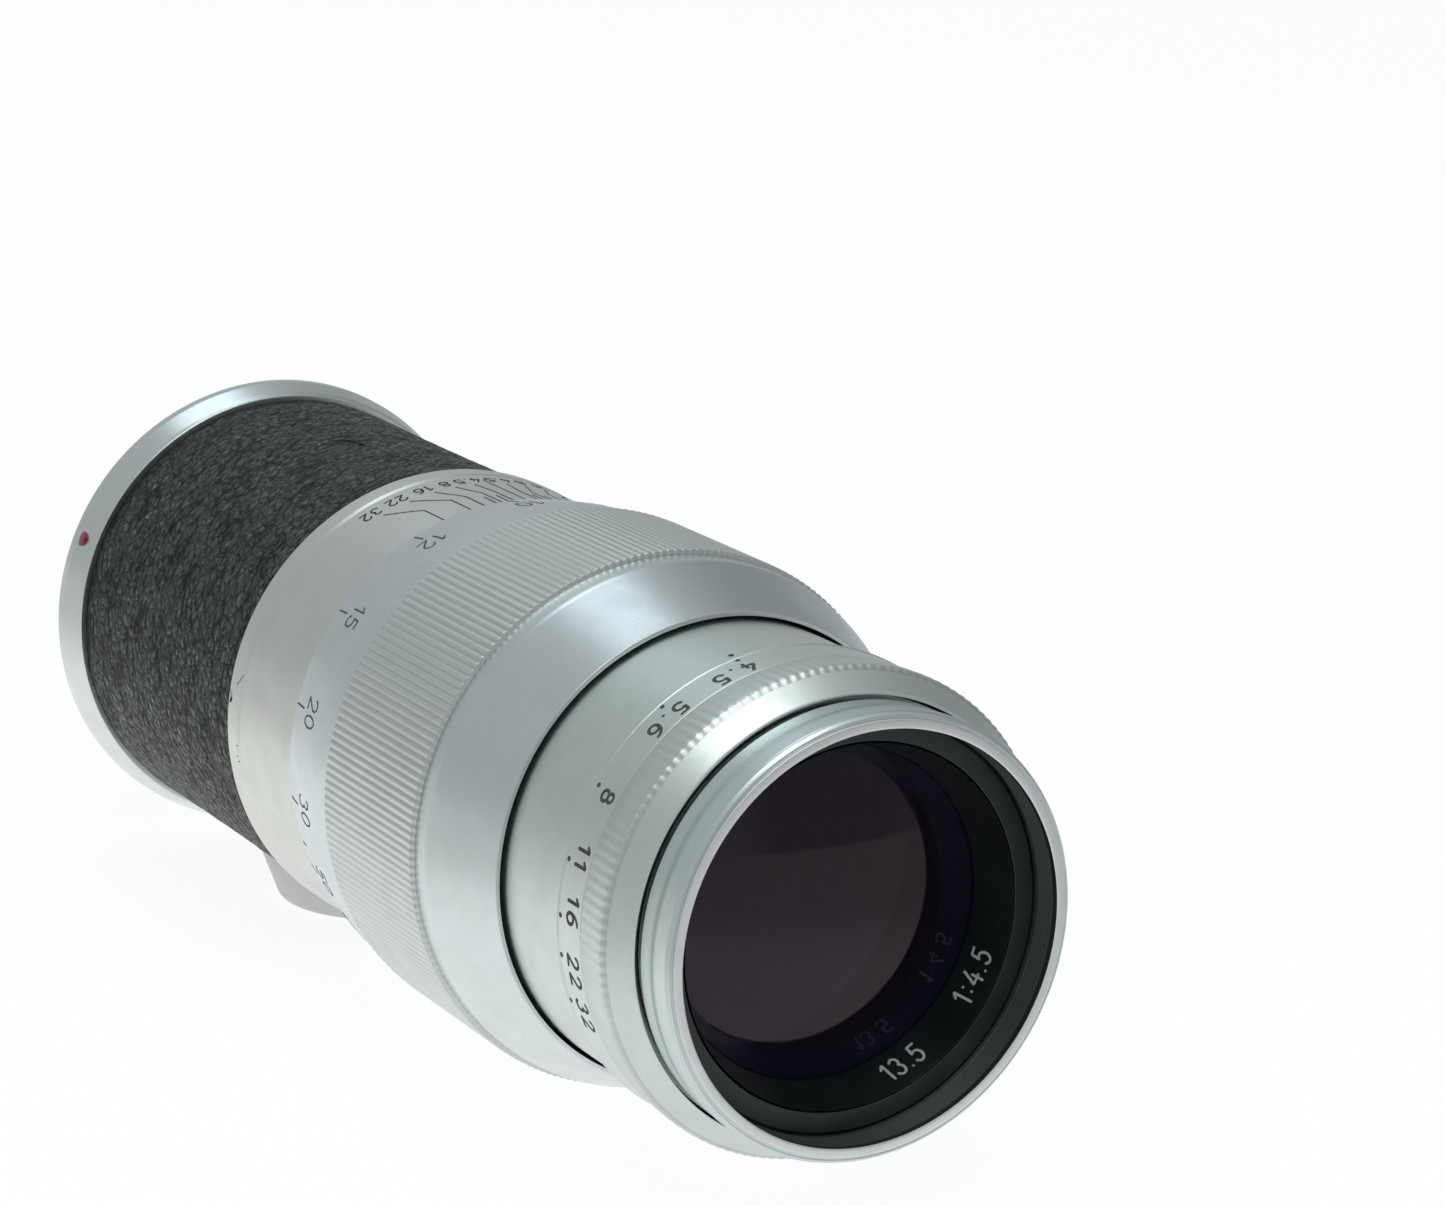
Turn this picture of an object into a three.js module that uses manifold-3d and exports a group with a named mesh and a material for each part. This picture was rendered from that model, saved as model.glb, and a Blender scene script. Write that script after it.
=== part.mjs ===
import * as THREE from 'three';
import { mergeVertices } from 'three/addons/utils/BufferGeometryUtils.js';
import Module from 'manifold-3d';

// A 135 mm long-focus camera lens with a bayonet mount, in millimetres.
// The optical axis runs along Y. The front looks to -Y and the bayonet's bearing face is y = 0.
// Z points up through the focusing index, and the tripod foot points down.
// The lens is drawn focused at about 10 feet with the diaphragm fully open.

const wasm = await Module();
wasm.setup();

// Lengths seen from outside, front to back
const rimLength = 6.75;
const apertureRingLength = 10.0;
const headShowing = 11.3;
const headShank = 24.82;
const focusRingLength = 43.2;
const depthRingLength = 16.1;
const leatherLength = 41.8;
const flangeThickness = 4.8;

// Outside radii, each stepped from the one before it, starting at the front thread
const filterThreadRadius = 19.5;
const rimWall = 1.55;
const headStep = 1.55;
const apertureStep = 0.5;
const lipStep = 0.52;
const coneRise = 3.38;
const gripRise = 0.5;
const scaleRise = 0.1;
const scaleFall = 1.48;
const depthStep = 0.27;
const leatherStep = 0.35;
const flangeFrontStep = 0.57;
const flangeRise = 0.93;
const rimRadius = filterThreadRadius + rimWall;
const headRadius = rimRadius + headStep;
const apertureRingRadius = headRadius + apertureStep;
const focusLipRadius = headRadius + lipStep;
const focusBandRadius = focusLipRadius + coneRise;
const focusKnurlRadius = focusBandRadius + gripRise;
const focusScaleRadius = focusBandRadius + scaleRise;
const focusRearRadius = focusScaleRadius - scaleFall;
const depthRingRadius = focusRearRadius - depthStep;
const leatherRadius = depthRingRadius - leatherStep;
const flangeFrontRadius = leatherRadius + flangeFrontStep;
const flangeRadius = flangeFrontRadius + flangeRise;

// Fits
const seatGap = 0.1;
const runGap = 0.2;
const faceGap = 0.3;
const cutGap = 0.3;
const gripSink = 0.5;
const endPlay = 0.6;

// Travel: the helicoid moves the head 2.728 mm for each radian of the focusing ring
const helicoidLead = 2.728;
const turnToInfinity = 144.6;
const turnToNearest = 162;
const couplingLead = 0.355;
const apertureTurn = 96.6;
const radian = Math.PI / 180;
const travelBack = helicoidLead * turnToInfinity * radian;
const travelForward = helicoidLead * turnToNearest * radian;
const couplingBack = couplingLead * turnToInfinity * radian;

// Facets: what shows gets more than what is inside
const shownSides = 36;
const hiddenSides = 28;
const fixedSides = 20;
const glassSides = 20;
const boltSides = 6;
const smallRoundSides = 14;

// Stations along the axis, worked forward from the bearing face
const flangeFront = -flangeThickness;
const leatherRear = flangeFront - seatGap;
const leatherFront = leatherRear - leatherLength;
const depthRear = leatherFront - seatGap;
const depthFront = depthRear - depthRingLength;
const focusRear = depthFront - faceGap;
const focusFront = focusRear - focusRingLength;
const headShoulder = focusFront - headShowing;
const apertureRear = headShoulder - faceGap;
const apertureFront = apertureRear - apertureRingLength;
const rimRear = apertureFront - faceGap;
const rimFront = rimRear - rimLength;

// Finishes
const finish = (color, roughness, metalness) =>
  new THREE.MeshStandardMaterial({ color, roughness, metalness });
const satinChrome = finish(0xb4b9b6, 0.35, 1);
const leatherGrain = finish(0x2e3032, 0.8, 0);
const blackAnodised = finish(0x171a19, 0.5, 0.4);
const brass = finish(0xb08d4a, 0.35, 1);
const steel = finish(0x8f9296, 0.3, 1);
const redEnamel = finish(0x8e1620, 0.35, 0);
const coatedGlass = finish(0x2c2430, 0.05, 0);

const lens = new THREE.Group();

function add(name, geometry, material) {
  const mesh = new THREE.Mesh(geometry, material);
  mesh.name = name;
  lens.add(mesh);
}

// Keeps only positions, welds shared corners and drops triangles that have lost their area.
function weld(geometry) {
  const bare = geometry.clone();
  bare.deleteAttribute('normal');
  bare.deleteAttribute('uv');
  const merged = mergeVertices(bare, 1e-5);
  const kept = [];
  const index = merged.index.array;
  for (let i = 0; i < index.length; i += 3) {
    const [a, b, c] = index.slice(i, i + 3);
    if (a !== b && b !== c && c !== a) kept.push(a, b, c);
  }
  merged.setIndex(kept);
  return merged;
}

function toManifold(geometry) {
  const bare = weld(geometry);
  return new wasm.Manifold(new wasm.Mesh({
    numProp: 3,
    vertProperties: new Float32Array(bare.attributes.position.array),
    triVerts: new Uint32Array(bare.index.array),
  }));
}

function fromManifold(manifold) {
  const mesh = manifold.getMesh();
  const geometry = new THREE.BufferGeometry();
  geometry.setAttribute('position', new THREE.BufferAttribute(mesh.vertProperties, 3));
  geometry.setIndex(new THREE.BufferAttribute(mesh.triVerts, 1));
  return geometry;
}

function join(first, ...others) {
  const whole = others.reduce((sum, other) => sum.add(toManifold(other)), toManifold(first));
  return fromManifold(whole);
}

function cut(first, ...others) {
  const rest = others.reduce((left, other) => left.subtract(toManifold(other)), toManifold(first));
  return fromManifold(rest);
}

// Turns a closed outline of [radius, y] corners round the optical axis.
function ring(corners, sides) {
  let area = 0;
  corners.forEach(([r, y], i) => {
    const [nextR, nextY] = corners[(i + 1) % corners.length];
    area += r * nextY - nextR * y;
  });
  const loop = area > 0 ? [...corners] : [...corners].reverse();
  loop.push(loop[0]);
  return weld(new THREE.LatheGeometry(loop.map(([r, y]) => new THREE.Vector2(r, y)), sides));
}

// Turns an open outline that starts and ends on the axis.
const turned = (outline, sides) =>
  weld(new THREE.LatheGeometry(outline.map(([r, y]) => new THREE.Vector2(r, y)), sides));

const tube = (inner, outer, front, rear, sides = hiddenSides) =>
  ring([[inner, front], [outer, front], [outer, rear], [inner, rear]], sides);

// A flat shape drawn in X and Z, made as thick as the distance from front to rear.
function plate(shape, front, rear) {
  const geometry = new THREE.ExtrudeGeometry(shape, { depth: rear - front, bevelEnabled: false });
  geometry.rotateX(Math.PI / 2);
  geometry.translate(0, rear, 0);
  return geometry;
}

// Angles round the axis start at the top and grow towards +X.
const around = (radius, angle) => [radius * Math.sin(angle * radian), radius * Math.cos(angle * radian)];

function sector(inner, outer, from, to, front, rear) {
  const shape = new THREE.Shape();
  const steps = Math.max(2, Math.round((to - from) / 10));
  for (let i = 0; i <= steps; i++) {
    const [x, z] = around(outer, from + (to - from) * i / steps);
    if (i === 0) shape.moveTo(x, z);
    else shape.lineTo(x, z);
  }
  for (let i = steps; i >= 0; i--) shape.lineTo(...around(inner, from + (to - from) * i / steps));
  return plate(shape, front, rear);
}

// A straight pin along the optical axis, standing at a radius and an angle.
function axialPin(radius, front, rear, at, angle, sides = boltSides) {
  const pin = new THREE.CylinderGeometry(radius, radius, rear - front, sides);
  const [x, z] = around(at, angle);
  return pin.translate(x, (front + rear) / 2, z);
}

// A straight pin that points away from the optical axis.
function radialPin(radius, inner, outer, angle, y, sides = boltSides) {
  const pin = new THREE.CylinderGeometry(radius, radius, outer - inner, sides);
  pin.rotateX(Math.PI / 2);
  pin.translate(0, 0, (inner + outer) / 2);
  pin.rotateY(angle * radian);
  return pin.translate(0, y, 0);
}

function box(x0, x1, y0, y1, z0, z1) {
  const block = new THREE.BoxGeometry(x1 - x0, y1 - y0, z1 - z0);
  return block.translate((x0 + x1) / 2, (y0 + y1) / 2, (z0 + z1) / 2);
}

// A ring whose outside is a row of V ribs, for the knurled grips.
function ribbedRing(ribs, tip, depth, inner, front, rear) {
  const shape = new THREE.Shape();
  for (let i = 0; i < 2 * ribs; i++) {
    const [x, z] = around(i % 2 ? tip - depth : tip, 180 * i / ribs);
    if (i === 0) shape.moveTo(x, z);
    else shape.lineTo(x, z);
  }
  const hole = new THREE.Path();
  for (let i = 0; i < shownSides; i++) {
    const [x, z] = around(inner, -360 * i / shownSides);
    if (i === 0) hole.moveTo(x, z);
    else hole.lineTo(x, z);
  }
  shape.holes.push(hole);
  return plate(shape, front, rear);
}

// Barrel: the fixed tube that everything else is built on
const barrelWall = 1.0;
const leatherSeat = 0.7;
const barrelRadius = leatherRadius - leatherSeat;
const barrelBore = barrelRadius - barrelWall;
const noseStep = 0.52;
const noseRadius = focusRearRadius - noseStep;
const noseLength = 9.8;
const noseWall = 0.65;
const noseBoreLength = 8.7;
const noseBore = noseRadius - noseWall;
const noseFront = depthFront - noseLength;
const barrelRear = flangeFront - seatGap;

// Helicoid nut, which the focusing ring turns
const nutPassing = 0.25;
const nutNeckWall = 1.15;
const nutFlangeThickness = 1.5;
const bearingLength = 3.2;
const headRearWall = 1.1;
const headCounterbore = headRadius - headRearWall;
const nutBore = headCounterbore + nutPassing;
const nutNeckRadius = nutBore + nutNeckWall;
const nutRadius = noseRadius + seatGap;
const nutRear = noseFront - 2 * endPlay;
const headRear = headShoulder + headShank;
const nutFront = headRear + travelBack + endPlay;
const bearingFront = noseFront + seatGap;
const bearingRear = bearingFront + bearingLength;
const nutFlangeRadius = noseBore - runGap;
const nutFlangeFront = bearingRear + faceGap;
const nutFlangeRear = nutFlangeFront + nutFlangeThickness;

// Coupling sleeve, which carries the focusing turn back to the rangefinder ring
const sleeveRadius = barrelBore - runGap;
const sleeveWall = 0.7;
const sleeveFlangeThickness = 1.8;
const sleeveFront = nutFlangeRear + seatGap;
const sleeveBore = sleeveRadius - sleeveWall;

// Bayonet
const flangeRimWidth = 1.5;
const flangeBevel = 0.4;
const railBed = 1.0;
const bayonetWall = 1.9;
const bayonetTubeLength = 4.9;
const lugHeight = 1.55;
const lugThickness = 1.5;
const lugInset = 0.5;
const lugRoot = 0.4;
const lugSpan = 50;
const lugCount = 4;
const lugFirstAngle = 20;
const spigotLength = 4.2;
const spigotRadius = barrelBore - seatGap;
const spigotFront = barrelRear - spigotLength;
const sleeveRear = spigotFront - faceGap;
const mountScrewCount = 4;
const mountScrewRadius = 0.55;
const mountScrewHeadRadius = 0.75;
const mountScrewHeadDepth = 0.8;
const mountScrewLength = 6.5;
const mountScrewFirstAngle = 30;
const lockNotchAngle = -128;
const lockNotchRadius = 1.5;
const lockNotchDepth = 1.6;
const lockNotchInset = 0.6;
const beadAngle = -71.3;
const beadRadius = 0.95;
const beadStation = -2.4;
const beadSink = 0.9;

// Head: the unit that slides straight in and out
const threadGap = 0.15;
const carrierRadius = nutBore - threadGap;
const carrierWall = 2.4;
const carrierLength = 48.5;
const carrierSpigotLength = 6.5;
const carrierFront = headRear - carrierSpigotLength;
const carrierRear = carrierFront + carrierLength;
const carrierBore = carrierRadius - carrierWall;

// Guide rail, which keeps the head and the rangefinder ring from turning
const railWidth = 4;
const railDepth = 2;
const railEngagement = 4.3;
const railTop = carrierRadius - runGap;
const railBottom = railTop - railDepth;
const railFront = carrierRear - travelForward - railEngagement;
const railSeating = 3;
const railRear = spigotFront + railSeating;

// Bayonet tube, inside the rail's foot
const bayonetBore = railBottom - railBed;
const bayonetTubeRadius = bayonetBore + bayonetWall;
const lugRadius = bayonetTubeRadius + lugHeight;

// Rangefinder ring
const rangefinderProtrusion = 6.5;
const rangefinderRadius = bayonetBore - runGap;
const rangefinderWall = 1.5;
const rangefinderHubLength = 10;
const rangefinderBore = rangefinderRadius - rangefinderWall;
const rangefinderHubRadius = sleeveBore - threadGap;
const rangefinderRear = rangefinderProtrusion - couplingBack;
const rangefinderHubRear = spigotFront - couplingBack - endPlay;
const rangefinderHubFront = rangefinderHubRear - rangefinderHubLength;

function mountScrewRing(radius, front, rear) {
  const middle = (bayonetBore + bayonetTubeRadius) / 2;
  return Array.from({ length: mountScrewCount }, (_, i) =>
    axialPin(radius, front, rear, middle, mountScrewFirstAngle + 360 * i / mountScrewCount));
}

function bayonetMount() {
  const body = ring([
    [bayonetBore, spigotFront], [spigotRadius, spigotFront], [spigotRadius, flangeFront],
    [flangeFrontRadius, flangeFront], [flangeRadius, -flangeRimWidth], [flangeRadius, -flangeBevel],
    [flangeRadius - flangeBevel, 0], [bayonetTubeRadius, 0], [bayonetTubeRadius, bayonetTubeLength],
    [bayonetBore, bayonetTubeLength],
  ], shownSides);
  const lugRear = bayonetTubeLength - lugInset;
  const lugs = [];
  for (let i = 0; i < lugCount; i++) {
    const from = lugFirstAngle + 360 * i / lugCount;
    const lugFront = lugRear - lugThickness;
    lugs.push(sector(bayonetTubeRadius - lugRoot, lugRadius, from, from + lugSpan, lugFront, lugRear));
  }
  const notchAt = flangeRadius - lockNotchRadius - lockNotchInset;
  const notch = axialPin(lockNotchRadius, -lockNotchDepth, 1, notchAt, lockNotchAngle, smallRoundSides);
  const beadSeat = radialPin(beadRadius + seatGap, flangeFrontRadius - beadSink, flangeRadius + 1,
    beadAngle, beadStation, smallRoundSides);
  const railSeat = box(-railWidth / 2 - seatGap, railWidth / 2 + seatGap, spigotFront - 1,
    railRear + seatGap, railBottom - seatGap, railTop + seatGap);
  const screwFront = bayonetTubeLength - mountScrewLength;
  const headFront = bayonetTubeLength - mountScrewHeadDepth;
  const shanks = mountScrewRing(mountScrewRadius + seatGap, screwFront - seatGap, bayonetTubeLength + 1);
  const heads = mountScrewRing(mountScrewHeadRadius + seatGap, headFront - seatGap, bayonetTubeLength + 1);
  return cut(join(body, ...lugs), notch, beadSeat, railSeat, ...shanks, ...heads);
}
add('bayonet_mount', bayonetMount(), satinChrome);

const mountScrewRear = bayonetTubeLength - seatGap;
const mountScrewHeadFront = bayonetTubeLength - mountScrewHeadDepth;
const mountShanks = mountScrewRing(mountScrewRadius, bayonetTubeLength - mountScrewLength,
  mountScrewHeadFront + mountScrewHeadDepth / 2);
const mountHeads = mountScrewRing(mountScrewHeadRadius, mountScrewHeadFront, mountScrewRear);
mountShanks.forEach((shank, i) => add(`mount_screw_${i + 1}`, join(shank, mountHeads[i]), steel));

function redIndexBead() {
  const height = 0.25;
  const base = flangeFrontRadius - beadSink + seatGap;
  const slope = (flangeRadius - flangeFrontRadius) / (flangeThickness - flangeRimWidth);
  const surface = flangeFrontRadius + slope * (flangeThickness + beadStation);
  const top = surface - base + height;
  const shoulder = [beadRadius * 0.7, top - height / 3];
  const outline = [[0, 0], [beadRadius, 0], [beadRadius, top - height], shoulder, [0, top]];
  const bead = turned(outline, smallRoundSides);
  bead.rotateX(Math.PI / 2);
  bead.translate(0, 0, base);
  bead.rotateY(beadAngle * radian);
  return bead.translate(0, beadStation, 0);
}
add('red_index_bead', redIndexBead(), redEnamel);

// Tripod foot: a round boss with a reducing bush, screwed on from inside the barrel
const footStation = -30;
const footHeight = 2.75;
const footDrop = leatherRadius + footHeight;
const footRadius = 9.0;
const footFlare = 0.46;
const footEdge = 0.35;
const footThreadRadius = 4.76;
const bushThreadRadius = 3.05;
const bushFlange = 0.9;
const bushFlangeThickness = 1.0;
const footScrewMargin = 1.24;
const footScrewOffset = footThreadRadius + bushFlange + footScrewMargin;
const footScrewRadius = 0.7;
const footScrewHeadRadius = 1.1;
const footScrewHeadThickness = 0.5;
const footScrewLength = 3.2;
const footSides = 24;
const bushSides = 18;

// Turns an outline of [radius, drop] corners round the foot's own upright line.
function footTurned(outline, sides = footSides) {
  const shape = turned(outline, sides);
  shape.rotateX(-Math.PI / 2);
  return shape.translate(0, footStation, 0);
}

function footPost(radius, top, bottom, offset = 0, sides = boltSides) {
  const post = new THREE.CylinderGeometry(radius, radius, bottom - top, sides);
  post.rotateX(Math.PI / 2);
  return post.translate(0, footStation + offset, -(top + bottom) / 2);
}

function footBlank(grow) {
  const top = barrelRadius * 0.8;
  const flared = footRadius + footFlare * (footDrop - top);
  return footTurned([
    [0, top], [flared + grow, top], [footRadius + footFlare * footEdge + grow, footDrop - footEdge],
    [footRadius - footEdge + grow, footDrop], [0, footDrop],
  ]);
}

const footScrewOffsets = [-footScrewOffset, footScrewOffset];
const footScrewTop = barrelBore + 0.15;
const bushTop = barrelRadius + cutGap + seatGap;

function tripodFoot() {
  const seat = tube(1, barrelRadius + cutGap, footStation - 20, footStation + 20, shownSides);
  const core = new THREE.CylinderGeometry(2, 2, 40, 12).translate(0, footStation, 0);
  const thread = footPost(footThreadRadius, barrelRadius, footDrop + 1, 0, bushSides);
  const flangeTop = footDrop - bushFlangeThickness - seatGap;
  const flange = footPost(footThreadRadius + bushFlange + seatGap, flangeTop, footDrop + 1, 0, bushSides);
  const screws = footScrewOffsets.map((offset) =>
    footPost(footScrewRadius + seatGap, barrelBore, footScrewTop + footScrewLength + seatGap, offset));
  return cut(footBlank(0), seat, core, thread, flange, ...screws);
}
add('tripod_foot', tripodFoot(), satinChrome);

function tripodBush() {
  const outer = footThreadRadius - seatGap;
  return footTurned([
    [bushThreadRadius, bushTop], [outer, bushTop], [outer, footDrop - bushFlangeThickness],
    [outer + bushFlange, footDrop - bushFlangeThickness], [outer + bushFlange, footDrop - seatGap],
    [bushThreadRadius, footDrop - seatGap], [bushThreadRadius, bushTop],
  ], bushSides);
}
add('tripod_bush', tripodBush(), steel);

footScrewOffsets.forEach((offset, i) => {
  const head = footPost(footScrewHeadRadius, footScrewTop, footScrewTop + footScrewHeadThickness, offset);
  const shank = footPost(footScrewRadius, footScrewTop + 0.2, footScrewTop + footScrewLength, offset);
  add(`foot_screw_${i + 1}`, join(head, shank), steel);
});

function barrelTube() {
  const body = ring([
    [noseBore, noseFront], [noseRadius, noseFront], [noseRadius, depthFront - seatGap],
    [barrelRadius, depthFront - seatGap], [barrelRadius, barrelRear], [barrelBore, barrelRear],
    [barrelBore, noseFront + noseBoreLength], [noseBore, noseFront + noseBoreLength],
  ], shownSides);
  const headBottom = footScrewTop + footScrewHeadThickness + seatGap;
  const screws = footScrewOffsets.flatMap((offset) => [
    footPost(footScrewRadius + seatGap, barrelBore - 1, barrelRadius + 1, offset),
    footPost(footScrewHeadRadius + seatGap, barrelBore - 1, headBottom, offset),
  ]);
  const pinHoleRadius = stopPinRadius + seatGap;
  const pinHole = radialPin(pinHoleRadius, noseBore - 1, noseRadius + 1, stopPinAngle, stopPinStation);
  return cut(body, pinHole, ...screws);
}

// Focus stop: a pin in the barrel's nose that a lug on the sleeve runs against
const stopPinRadius = 0.7;
const stopPinAngle = 0;
const stopPlay = 0.6;
const stopPinStation = sleeveFront + sleeveFlangeThickness / 2;
const stopPinReach = 0.5;
const stopPinInner = sleeveRadius + stopPinReach;
add('barrel_tube', barrelTube(), brass);
const stopPinOuter = noseRadius - seatGap;
add('stop_pin', radialPin(stopPinRadius, stopPinInner, stopPinOuter, stopPinAngle, stopPinStation), steel);
add('bearing_ring', tube(nutNeckRadius + runGap, noseBore - seatGap, bearingFront, bearingRear), brass);

const depthBevel = 0.5;
add('depth_scale_ring', ring([
  [barrelRadius + seatGap, depthFront], [depthRingRadius - depthBevel / 3, depthFront],
  [depthRingRadius, depthFront + depthBevel], [depthRingRadius, depthRear - depthBevel],
  [depthRingRadius - depthBevel / 2, depthRear], [barrelRadius + seatGap, depthRear],
], shownSides), satinChrome);

const leatherSleeve = tube(barrelRadius + seatGap, leatherRadius, leatherFront, leatherRear, shownSides);
add('leather_cover', cut(leatherSleeve, footBlank(cutGap)), leatherGrain);

// The rail is held by one screw from inside the bayonet's spigot
const railScrewRadius = 0.7;
const railScrewHeadRadius = 1.2;
const railScrewHeadDepth = 0.6;
const railScrewStation = (spigotFront + railRear) / 2;

function guideRail() {
  const bar = box(-railWidth / 2, railWidth / 2, railFront, railRear, railBottom, railTop);
  const shank = radialPin(railScrewRadius + seatGap, railBottom - 1, railTop + 1, 0, railScrewStation);
  const headTop = railBottom + railScrewHeadDepth + seatGap;
  const head = radialPin(railScrewHeadRadius + seatGap, railBottom - 1, headTop, 0, railScrewStation);
  return cut(bar, shank, head);
}
add('guide_rail', guideRail(), steel);

function railScrew() {
  const headTop = railBottom + railScrewHeadDepth;
  const head = radialPin(railScrewHeadRadius, railBottom, headTop, 0, railScrewStation);
  const shank = radialPin(railScrewRadius, headTop - railScrewHeadDepth / 2, railTop, 0, railScrewStation);
  return join(head, shank);
}
add('rail_screw', railScrew(), steel);

// Focusing ring, with a cone, a plain band, the ribbed grip and the curved scale
const coneLength = 8.8;
const bandLength = 2.05;
const knurlLength = 20.0;
const focusRibs = 212;
const focusRibDepth = 0.35;
const scaleCurve = 1.7;
const lipThickness = 0.35;
const lipEdge = 0.1;
const focusLipBore = focusLipRadius - lipEdge;
const focusScrewRadius = 0.45;
const focusScrewHeadRadius = 0.65;
const focusScrewHeadDepth = 1.0;
const focusScrewReach = 2.2;
const focusScrewCount = 3;
const focusScrewFirstAngle = 60;
const bandFront = focusFront + coneLength;
const knurlFront = bandFront + bandLength;
const knurlRear = knurlFront + knurlLength;
const focusBore = nutRadius + seatGap;
const focusShoulder = nutFront - seatGap;

function focusScrewRing(radius, front, rear) {
  const middle = (nutNeckRadius + nutRadius) / 2;
  return Array.from({ length: focusScrewCount }, (_, i) =>
    axialPin(radius, front, rear, middle, focusScrewFirstAngle + 360 * i / focusScrewCount));
}

function focusRing() {
  const scaleLength = focusRear - knurlRear;
  const curveSteps = 3;
  const ribSeat = focusScaleRadius - gripSink;
  const curve = [];
  for (let i = 1; i <= curveSteps; i++) {
    const t = i / curveSteps;
    const fall = (focusScaleRadius - focusRearRadius) * t ** scaleCurve;
    curve.push([focusScaleRadius - fall, knurlRear + scaleLength * t]);
  }
  const body = ring([
    [focusLipBore, focusFront], [focusLipRadius + lipThickness, focusFront], [focusBandRadius, bandFront],
    [focusBandRadius, knurlFront + gripSink], [ribSeat, knurlFront + gripSink],
    [ribSeat, knurlRear - gripSink], [focusScaleRadius, knurlRear - gripSink], ...curve,
    [focusBore, focusRear], [focusBore, focusShoulder], [focusLipBore, focusShoulder],
  ], shownSides);
  const gripInner = ribSeat - gripSink;
  const grip = ribbedRing(focusRibs, focusKnurlRadius, focusRibDepth, gripInner, knurlFront, knurlRear);
  const screwFront = focusShoulder - focusScrewReach - seatGap;
  const screws = focusScrewRing(focusScrewRadius + seatGap, screwFront, focusShoulder + 1);
  return cut(join(body, grip), ...screws);
}
add('focus_ring', focusRing(), satinChrome);

function focusHelicoid() {
  const body = ring([
    [nutBore, nutFront], [nutRadius, nutFront], [nutRadius, nutRear], [nutNeckRadius, nutRear],
    [nutNeckRadius, nutFlangeFront], [nutFlangeRadius, nutFlangeFront], [nutFlangeRadius, nutFlangeRear],
    [nutBore, nutFlangeRear],
  ], hiddenSides);
  const headFront = nutRear - focusScrewHeadDepth - seatGap;
  const shanks = focusScrewRing(focusScrewRadius + seatGap, nutFront - 1, nutRear + 1);
  const heads = focusScrewRing(focusScrewHeadRadius + seatGap, headFront, nutRear + 1);
  return cut(body, ...shanks, ...heads);
}
add('focus_helicoid', focusHelicoid(), brass);

const focusScrewHeadFront = nutRear - focusScrewHeadDepth;
const focusShanks = focusScrewRing(focusScrewRadius, focusShoulder - focusScrewReach,
  focusScrewHeadFront + focusScrewHeadDepth / 2);
const focusHeads = focusScrewRing(focusScrewHeadRadius, focusScrewHeadFront, nutRear - seatGap);
focusShanks.forEach((shank, i) => add(`focus_ring_screw_${i + 1}`, join(shank, focusHeads[i]), steel));

function couplingSleeve() {
  const flangeRear = sleeveFront + sleeveFlangeThickness;
  const body = ring([
    [sleeveBore, sleeveFront], [stopPinInner - runGap, sleeveFront], [stopPinInner - runGap, flangeRear],
    [sleeveRadius, flangeRear], [sleeveRadius, sleeveRear], [sleeveBore, sleeveRear],
  ], hiddenSides);
  // The lug fills what the full turn leaves free, less the pin and a little play.
  const pinHalf = Math.asin(stopPinRadius / stopPinInner) / radian + stopPlay;
  const lug = sector(sleeveRadius, nutFlangeRadius, turnToNearest + pinHalf,
    360 - turnToInfinity - pinHalf, sleeveFront, flangeRear);
  return join(body, lug);
}
add('coupling_sleeve', couplingSleeve(), brass);

function rangefinderRing() {
  const body = ring([
    [rangefinderBore, rangefinderHubFront], [rangefinderHubRadius, rangefinderHubFront],
    [rangefinderHubRadius, rangefinderHubRear], [rangefinderRadius, rangefinderHubRear],
    [rangefinderRadius, rangefinderRear], [rangefinderBore, rangefinderRear],
  ], hiddenSides);
  const slotHalf = railWidth / 2 + runGap;
  const slot = box(-slotHalf, slotHalf, rangefinderHubFront - 1, rangefinderHubRear + 1,
    railBottom - runGap, rangefinderHubRadius + 1);
  return cut(body, slot);
}
add('rangefinder_ring', rangefinderRing(), brass);

// Diaphragm: each blade is a crescent that turns on a pin in the fixed plate,
// and a pin at its far end rides in a radial slot of the ring that the aperture ring drives.
// Blades rise as they go round, so that each lies over its neighbour and under the next.
const bladeCount = 10;
const bladeOuterGap = 0.3;
const bladePivotInset = 2.2;
const bladeThickness = 0.08;
const bladeRise = 3.6;
const bladeSweep = 132;
const bladeOverhang = 6;
const bladePinRadius = 0.45;
const irisMargin = 0.36;
const smallestRadius = 2.1;
const irisPlateThickness = 1.2;
const drivePlateThickness = 1.0;
const driveSleeveWall = 0.6;
const farPinPlay = 0.55;
const bladeOuterRadius = headCounterbore - bladeOuterGap;
const bladePivotRadius = bladeOuterRadius - bladePivotInset;
const bladeTurn = apertureTurn / 2;
const bladeShift = 2 * bladePivotRadius * Math.sin(bladeTurn / 2 * radian);
const bladeInnerRadius = bladeShift + smallestRadius;
const farPinNearest = bladePivotRadius * (2 * Math.sin(bladeSweep / 2 * radian) - 1);
const openRadius = farPinNearest - bladePinRadius - runGap - irisMargin;

// Front cell and optics
const cellFlangeStep = 0.3;
const cellNoseGap = 0.15;
const cellBodyStep = 0.9;
const cellFace = 3.8;
const cellFlangeLength = 8.15;
const cellRadius = filterThreadRadius + cellFlangeStep;
const cellNoseRadius = filterThreadRadius - cellNoseGap;
const cellBodyRadius = cellRadius - cellBodyStep;
const cellFlangeFront = rimFront + cellFace + 0.65;
const cellFlangeRear = cellFlangeFront + cellFlangeLength;
const nameRingFaceWidth = 2.05;
const nameRingWall = 1.45;
const nameRingLength = 4.7;
const nameRingRadius = cellNoseRadius - nameRingFaceWidth;
const nameRingBore = nameRingRadius - nameRingWall;
const nameRingRear = rimFront + cellFace + nameRingLength;

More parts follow.
